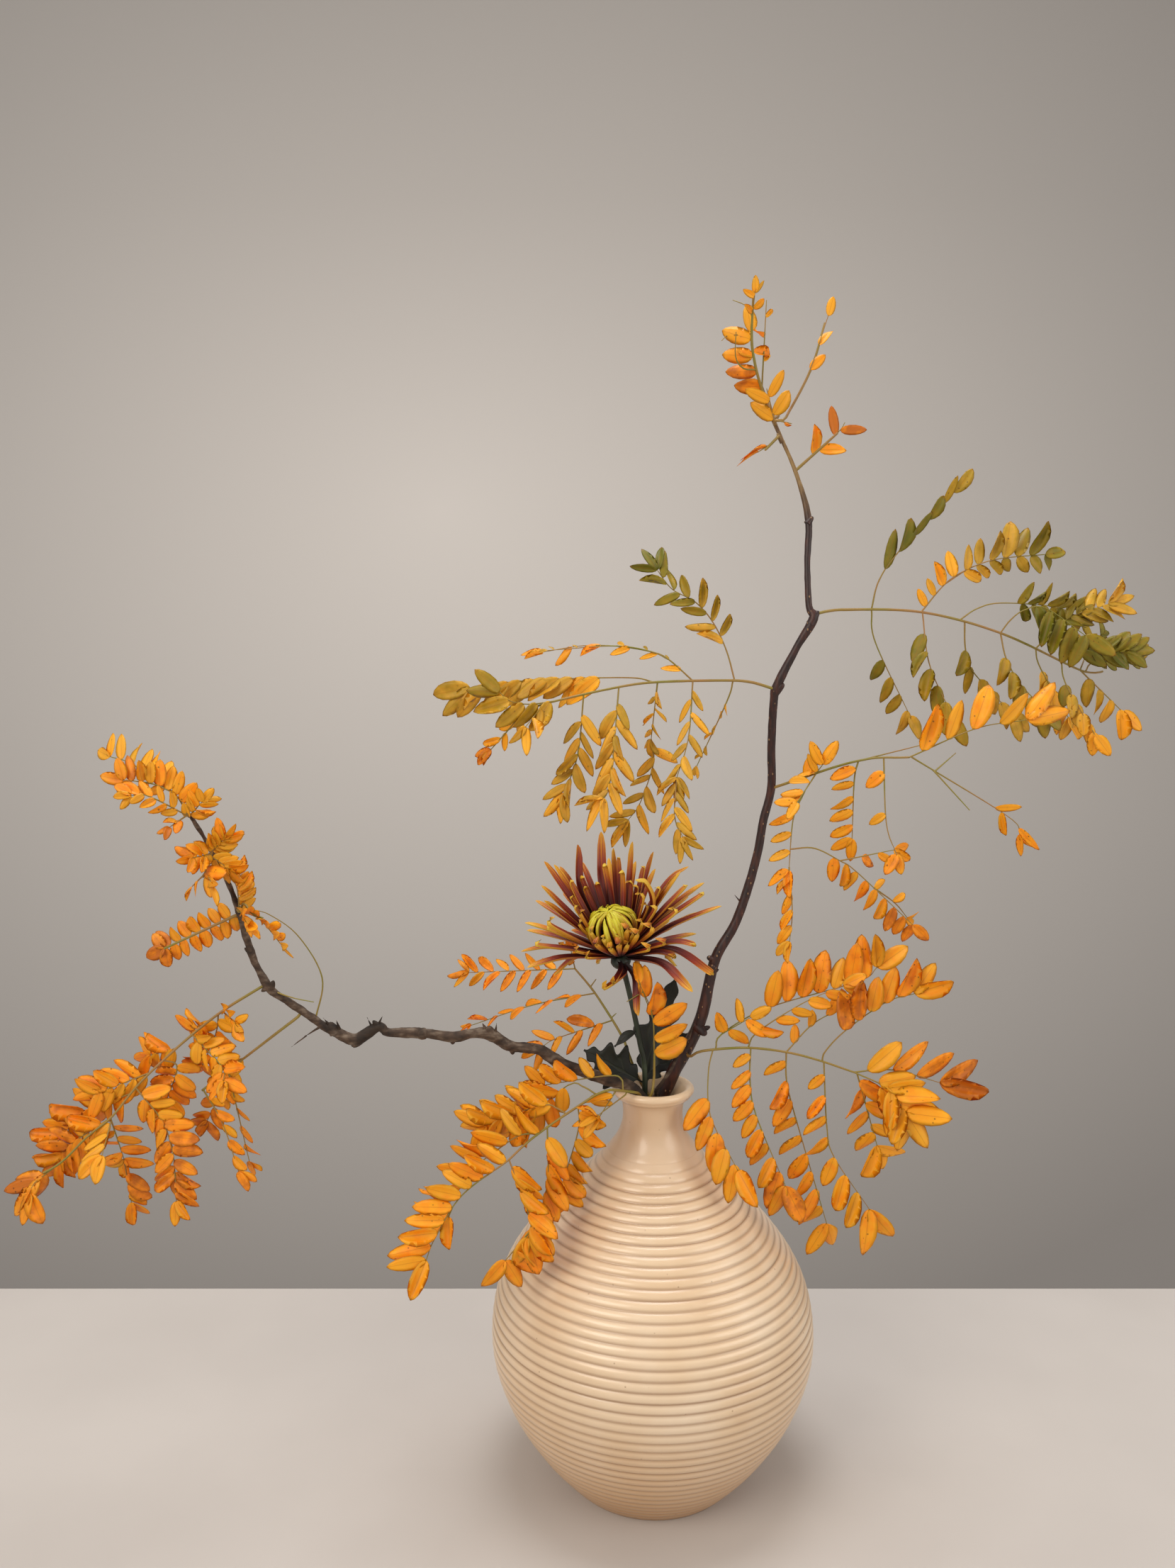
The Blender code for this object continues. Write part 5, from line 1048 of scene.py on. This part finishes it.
# Where a petal leaves the seat: how far out, how high, and how much higher one that stands up.
ROOT_OUT, ROOT_UP, ROOT_UP_MORE = 4.5, 2.0, 5.0
# How far a petal bows out and up, as shares of its length, and how much its hook rises.
BOW_OUT, BOW_UP, HOOK_RISE = 0.10, 0.05, 0.6
PETAL_SHARES, PETAL_WIDTHS = (0.0, 0.25, 0.65, 0.88, 0.97, 1.0), (0.5, 0.8, 1.0, 0.85, 0.5, 0.12)
# The heart: the rings of young petals, as (how many, how far round the ball from its top they
# reach in degrees, the size of the ball that they lie on, width).
HEART_CENTRE, HEART_BASE = 28.0, 150.0      # the ball's height on the axis; degrees from its top
YOUNG_LEAN, YOUNG_CURL = 9.0, 14.0          # in degrees
YOUNG_SHARES, YOUNG_WIDTHS = (0, 0.3, 0.8, 0.95, 1), (0.5, 0.9, 0.9, 0.6, 0.2)
HEART_RINGS = [(17, 50, 18.6, 3.4), (19, 40, 17.8, 3.2), (18, 30, 16.8, 3.0), (15, 20, 15.8, 3.0),
               (12, 8, 14.8, 2.8), (9, -6, 13.8, 2.6), (6, -22, 12.6, 2.4)]

# Rolls petals along paths: each is a closed gutter that opens towards a place above the heart.
rolling, sizes = new_nodes("petals_along_paths", Facing="Vector", Depth="Float", Thick="Float",
                           Petal="Material")
place = add_node(rolling, "InputPosition")
ahead = add_node(rolling, "InputTangent")
inward = add_node(rolling, "VectorMath", (sizes["Facing"], place), operation="SUBTRACT")
along_path = add_node(rolling, "VectorMath", (inward, ahead),
    operation="DOT_PRODUCT").outputs["Value"]
along_path = add_node(rolling, "VectorMath", {0: ahead, "Scale": along_path}, operation="SCALE")
inward = add_node(rolling, "VectorMath", (inward, along_path), operation="SUBTRACT")
inward = add_node(rolling, "VectorMath", (inward,), operation="NORMALIZE")
paths = add_node(rolling, "SetCurveNormal", {"Curve": sizes["Geometry"], "Normal": inward},
    mode="FREE")
progress = add_node(rolling, "SplineParameter").outputs["Factor"]
paths = add_node(rolling, "StoreNamedAttribute", {"Geometry": paths, "Name": "along",
    "Value": progress}, data_type="FLOAT")
luck = add_node(rolling, "RandomValue", {2: 0.0, 3: 1.0, "Seed": 5})
paths = add_node(rolling, "StoreNamedAttribute", {"Geometry": paths, "Name": "luck", "Value": luck},
    data_type="FLOAT", domain="CURVE")
ring = add_node(rolling, "CurvePrimitiveCircle", {"Resolution": 12, "Radius": 1.0})
spot = add_node(rolling, "SeparateXYZ", (place,))
for attribute, axis in (("inside", "X"), ("across", "Y")):
    ring = add_node(rolling, "StoreNamedAttribute", {"Geometry": ring, "Name": attribute,
        "Value": spot.outputs[axis]}, data_type="FLOAT")
dish = add_node(rolling, "Math", (spot.outputs["Y"], 2.0), operation="POWER")
dish = add_node(rolling, "Math", (dish, sizes["Depth"]), operation="MULTIPLY")
dish = add_node(rolling, "Math", (spot.outputs["X"], sizes["Thick"], dish),
    operation="MULTIPLY_ADD")
gutter = add_node(rolling, "CombineXYZ", {"X": dish, "Y": spot.outputs["Y"]})
ring = add_node(rolling, "SetPosition", {0: ring, "Position": gutter})
radius = add_node(rolling, "InputRadius")
petals = add_node(rolling, "CurveToMesh", {"Curve": paths, "Profile Curve": ring, "Scale": radius,
    "Fill Caps": True})
end_tree(rolling, petals, sizes["Petal"])


def petal_material(name, inside_stops, outside_stops, **sockets):
    """Petal skin: its colour runs from the base to the tip, with fine streaks along it, and it
    has one run of colours inside the gutter and another outside."""
    material, tree, shader = new_material(name, **sockets)
    along, across, inside, luck = (
        add_node(tree, "Attribute", attribute_name=attribute).outputs["Fac"]
        for attribute in ("along", "across", "inside", "luck"))
    grain = add_node(tree, "CombineXYZ", {"X": across, "Y": along, "Z": luck})
    grain = add_node(tree, "Mapping", {"Vector": grain, "Scale": (5.0, 1.5, 40.0)})
    streaks = add_node(tree, "TexNoise", {"Vector": grain, "Scale": 1.0, "Detail": 3.0})
    shift = add_node(tree, "MapRange", (streaks, 0.3, 0.7, -0.10, 0.10))
    spread = add_node(tree, "MapRange", (luck, 0.0, 1.0, -0.14, 0.10))
    shift = add_node(tree, "Math", (shift, spread), operation="ADD")
    aged = add_node(tree, "Math", (along, shift), operation="ADD")
    side = add_node(tree, "MapRange", (inside, -0.25, 0.35))
    colour = add_node(tree, "Mix", {0: side, 6: colour_ramp(tree, aged, outside_stops),
        7: colour_ramp(tree, aged, inside_stops)}, data_type="RGBA")
    bump = add_node(tree, "Bump", {"Height": streaks, "Strength": 0.35, "Distance": 0.3 * MM})
    fill(tree, shader, {"Base Color": colour, "Normal": bump})
    return material


# Open petal: a soft velvety skin, wine red inside and brassy gold outside.
open_petal = petal_material(
    "spider_petal",
    [(0.0, "#0A0001"), (0.3, "#2A0304"), (0.55, "#5A0C08"), (0.74, "#8C2C0C"), (0.88, "#C0740F"),
     (1.0, "#D8A428")],
    [(0.0, "#120102"), (0.2, "#3E0806"), (0.4, "#8A300A"), (0.58, "#B87210"), (0.8, "#CE9A1C"),
     (1.0, "#DAB63C")],
    Roughness=0.5)
# Young petal: the same skin before it has coloured, lime yellow with a red-brown base.
young_petal = petal_material(
    "young_petal_skin",
    [(0.0, "#1E0402"), (0.5, "#5E2A06"), (0.75, "#8C7A0C"), (1.0, "#B4AA20")],
    [(0.0, "#240503"), (0.36, "#6A1C06"), (0.54, "#A0620A"), (0.7, "#B89C12"), (0.86, "#C6BA1E"),
     (1.0, "#D2CA3A")],
    Roughness=0.45)


def petal_run(tip, width, hook, bend=None):
    """A petal from the flower's seat to its tip, as (x, y, z, radius)."""
    tip = np.array(tip, float)
    length = np.linalg.norm(tip)
    outward = tip - FLOWER_AXIS * (tip @ FLOWER_AXIS)
    outward /= np.linalg.norm(outward)
    rise = (tip @ FLOWER_AXIS) / length
    start = outward * ROOT_OUT + FLOWER_AXIS * (ROOT_UP + ROOT_UP_MORE * max(rise, 0.0))
    if bend is None:  # a rising petal bows outwards, a hanging one bows up
        bend = tip * 0.5 + outward * BOW_OUT * length * max(rise,
            0.0) + FLOWER_AXIS * BOW_UP * length
    points = [start, np.array(bend, float), tip]
    if hook:
        points.append(tip + FLOWER_AXIS * hook * HOOK_RISE - outward * hook)
    path = smooth_path(points, 2.4) + FLOWER
    share = lengths_along(path) / lengths_along(path)[-1]
    return np.column_stack([path, np.interp(share, PETAL_SHARES, PETAL_WIDTHS) * width / 2])


facing = FLOWER + FLOWER_AXIS * 60.0
for whorl_name, petal_rows in PETALS.items():
    runs = [petal_run(row[:3], *row[3:]) for row in petal_rows]
    whorl = add_object(whorl_name + "_gutters", grown(
        rolling, curves_through(whorl_name, runs), Facing=tuple(facing * MM), Depth=0.85, Thick=0.3,
        Petal=open_petal))
    stand_for(whorl, whorl_name)

# The heart's young petals lie over a ball and curl in at its top.
side_way = np.cross(FLOWER_AXIS, (0.0, 1.0, 0.0))
side_way /= np.linalg.norm(side_way)
front_way = np.cross(FLOWER_AXIS, side_way)
heart_centre = FLOWER + FLOWER_AXIS * HEART_CENTRE
runs = []
for ring_number, (count, reach, ball, width) in enumerate(HEART_RINGS):
    for number in range(count):
        place = number + 0.5 * (ring_number % 2)  # each ring covers the gaps of the one before
        azimuth = 2 * math.pi * place / count + 0.4 * math.sin(5.0 * number)
        out = side_way * math.cos(azimuth) + front_way * math.sin(azimuth)
        lean = YOUNG_LEAN * math.sin(2.3 * number + ring_number)
        places = []
        for t in np.linspace(0.0, 1.0, 13):
            polar = math.radians(HEART_BASE + (reach + lean - HEART_BASE) * t)
            far = ball * (0.55 + 0.45 * min(1.0, 3.2 * t)) * (1.0 - 0.12 * max(0.0, t - 0.7) / 0.3)
            curl = math.radians(YOUNG_CURL) * t * t * math.sin(1.7 * number + 0.6)
            across = np.cross(FLOWER_AXIS, out) * math.sin(curl) + out * math.cos(curl)
            ball_way = FLOWER_AXIS * math.cos(polar) + across * math.sin(polar)
            places.append(heart_centre + ball_way * far)
        widths = np.interp(np.linspace(0.0, 1.0, len(places)), YOUNG_SHARES, YOUNG_WIDTHS)
        runs.append(np.column_stack([places, widths * width / 2]))
heart = add_object("mum_heart_petals", grown(
    rolling, curves_through("heart", runs), Facing=tuple(heart_centre * MM),
    Depth=0.7, Thick=0.35, Petal=young_petal))
stand_for(heart, "mum_heart")

# Flower stem: smooth dark green, mottled, and ribbed a little.
flower_green, tree, shader = new_material("flower_stem_skin", Roughness=0.45)
spot = add_node(tree, "TexCoord").outputs["Object"]
mottle = add_node(tree, "TexNoise", {"Vector": spot, "Scale": 60.0, "Detail": 3.0})
fill(tree, shader, {"Base Color": colour_ramp(tree, mottle, [(0.3, "#10180E"), (0.55, "#222C1C"),
    (0.75, "#3A4430")])})
# The stem from its cut end up to the cup, and the cup itself, as (across, back, up, radius).
MUM_STEM = [(-6, 0.3, 9.5, 2.0), (-6, 0.3, 240, 2.0), (-6, 0.3, 301, 2.0), (-9, 0, 319, 2.0),
            (-14, 0, 344, 1.9), (-19.3, 0.8, 366.6, 2.0), (-22.1, -2.6, 377.6, 2.3)]
CUP = [(-8.0, 2.3), (-6.0, 4.0), (-4.0, 6.0), (-2.0, 7.2), (0.0, 7.6), (2.0, 6.8), (4.0, 4.0)]
cup_run = [(*(FLOWER + FLOWER_AXIS * high), wide) for high, wide in CUP]
for stem_name, run in {"mum_stem": smooth_path(MUM_STEM, 4.0), "mum_receptacle": cup_run}.items():
    stem = add_object(stem_name + "_skin", grown(
        barking, curves_through(stem_name, [run]), Sides=16, Lump_height=0.12 * MM,
        Lump_scale=160.0,
        Bark=flower_green))
    stand_for(stem, stem_name)

# Chrysanthemum leaf: thick, dull and nearly black green above, with paler veins, and olive below.
mum_leaf_skin, tree, shader = new_material("chrysanthemum_leaf", Roughness=0.6)
along, across, under = (
    add_node(tree, "Attribute", attribute_name=attribute).outputs["Fac"]
    for attribute in ("along", "across", "under"))
spot = add_node(tree, "TexCoord").outputs["Object"]
mottle = add_node(tree, "TexNoise", {"Vector": spot, "Scale": 90.0, "Detail": 4.0})
upper = colour_ramp(tree, mottle, [(0.3, "#070A04"), (0.7, "#151A0C")])
lower = colour_ramp(tree, mottle, [(0.3, "#2C331C"), (0.7, "#4A5030")])
off = add_node(tree, "Math", (across,), operation="ABSOLUTE")
# Side veins leave the midrib at an angle, so they are stripes of along less a part of across.
slant = add_node(tree, "Math", (off, -0.2, along), operation="MULTIPLY_ADD")
slant = add_node(tree, "Math", (slant, 6.0), operation="MULTIPLY")
slant = add_node(tree, "Math", (slant, 1.0), operation="PINGPONG")
side_vein = add_node(tree, "MapRange", (slant, 0.0, 0.14, 0.7, 0.0))
midrib = add_node(tree, "MapRange", (off, 0.03, 0.10, 1.0, 0.0))
veins = add_node(tree, "Math", (side_vein, midrib), operation="MAXIMUM")
colour = add_node(tree, "Mix", {0: under, 6: upper, 7: lower}, data_type="RGBA")
veined = add_node(tree, "Math", (veins, 0.5), operation="MULTIPLY")
colour = add_node(tree, "Mix", {0: veined, 6: colour, 7: linear("#2A301A")}, data_type="RGBA")
bump = add_node(tree, "Bump", {"Height": veins, "Strength": 0.5, "Distance": 0.4 * MM})
bump.invert = True
fill(tree, shader, {"Base Color": colour, "Normal": bump})

# A leaf of the flower: its midrib, its half width, the way its upper side faces and its lobes.
MUM_LEAVES = {
    "mum_leaf_right": ([(-6, 0.3, 290), (-2, 8, 310), (8, 16, 338), (18, 18, 366)], 17,
        (-0.3, -1, 0.2), 4),
    "mum_leaf_left": ([(-7, 0, 292), (-28, -2, 305), (-50, -2, 317)], 18, (-0.1, -1, 0.3), 4),
    "mum_leaf_back": ([(-6, 0.3, 290), (2, 14, 302), (14, 24, 312), (28, 26, 321)], 18,
        (0.2, -1, 0.3), 4),
    "mum_bract_leaf": ([(-11, 0, 331), (-19, -3, 328), (-28, -4, 320)], 3.5, (-0.3, -0.8, 0.6), 1),
}
LEAF_STALK, LEAF_HALF_THICK = 0.10, 0.2    # the share of a leaf that is its stalk; in mm


def lobed_leaf(name, midrib, half, facing, lobes):
    """A closed blade along its midrib, with rounded lobes and a gentle wave at its edges."""
    path = smooth_path(midrib, 0.5)
    share = lengths_along(path) / lengths_along(path)[-1]

    def on_midrib(t):
        return np.array([np.interp(min(max(t, 0.0), 1.0), share,
            path[:, axis]) for axis in range(3)])

    def place(i, t, c, lift):
        ahead = on_midrib(t + 0.02) - on_midrib(t - 0.02)
        ahead /= np.linalg.norm(ahead)
        beside = np.cross(ahead, facing)
        beside /= np.linalg.norm(beside)
        body = math.sin(math.pi * max((t - LEAF_STALK) / (1.0 - LEAF_STALK), 0.0) ** 0.62)
        notch = 0.74 + 0.26 * math.cos(2 * math.pi * (lobes * t - 0.5)) if lobes > 1 else 1.0
        wide = max(half * body * notch, 0.8)
        sweep = ahead * 0.35 * wide * abs(c)  # the lobes point towards the leaf's tip
        wave = 0.09 * half * math.sin(11.0 * t + 2.0 * c) * c * c + 0.18 * wide * c * c
        rise = np.cross(beside, ahead) * (wave + lift * LEAF_HALF_THICK)
        return (on_midrib(t) + sweep + beside * wide * c + rise) * MM

    mesh = closed_blade(name, np.linspace(0.0, 1.0, 40), np.linspace(-1.0, 1.0, 11),
                        ("along", "across", "under"), place)
    mesh.materials.append(mum_leaf_skin)
    return mesh


for mum_leaf_name, leaf_row in MUM_LEAVES.items():
    mum_leaf = add_object(mum_leaf_name + "_blade", lobed_leaf(mum_leaf_name, *leaf_row))
    stand_for(mum_leaf, mum_leaf_name)
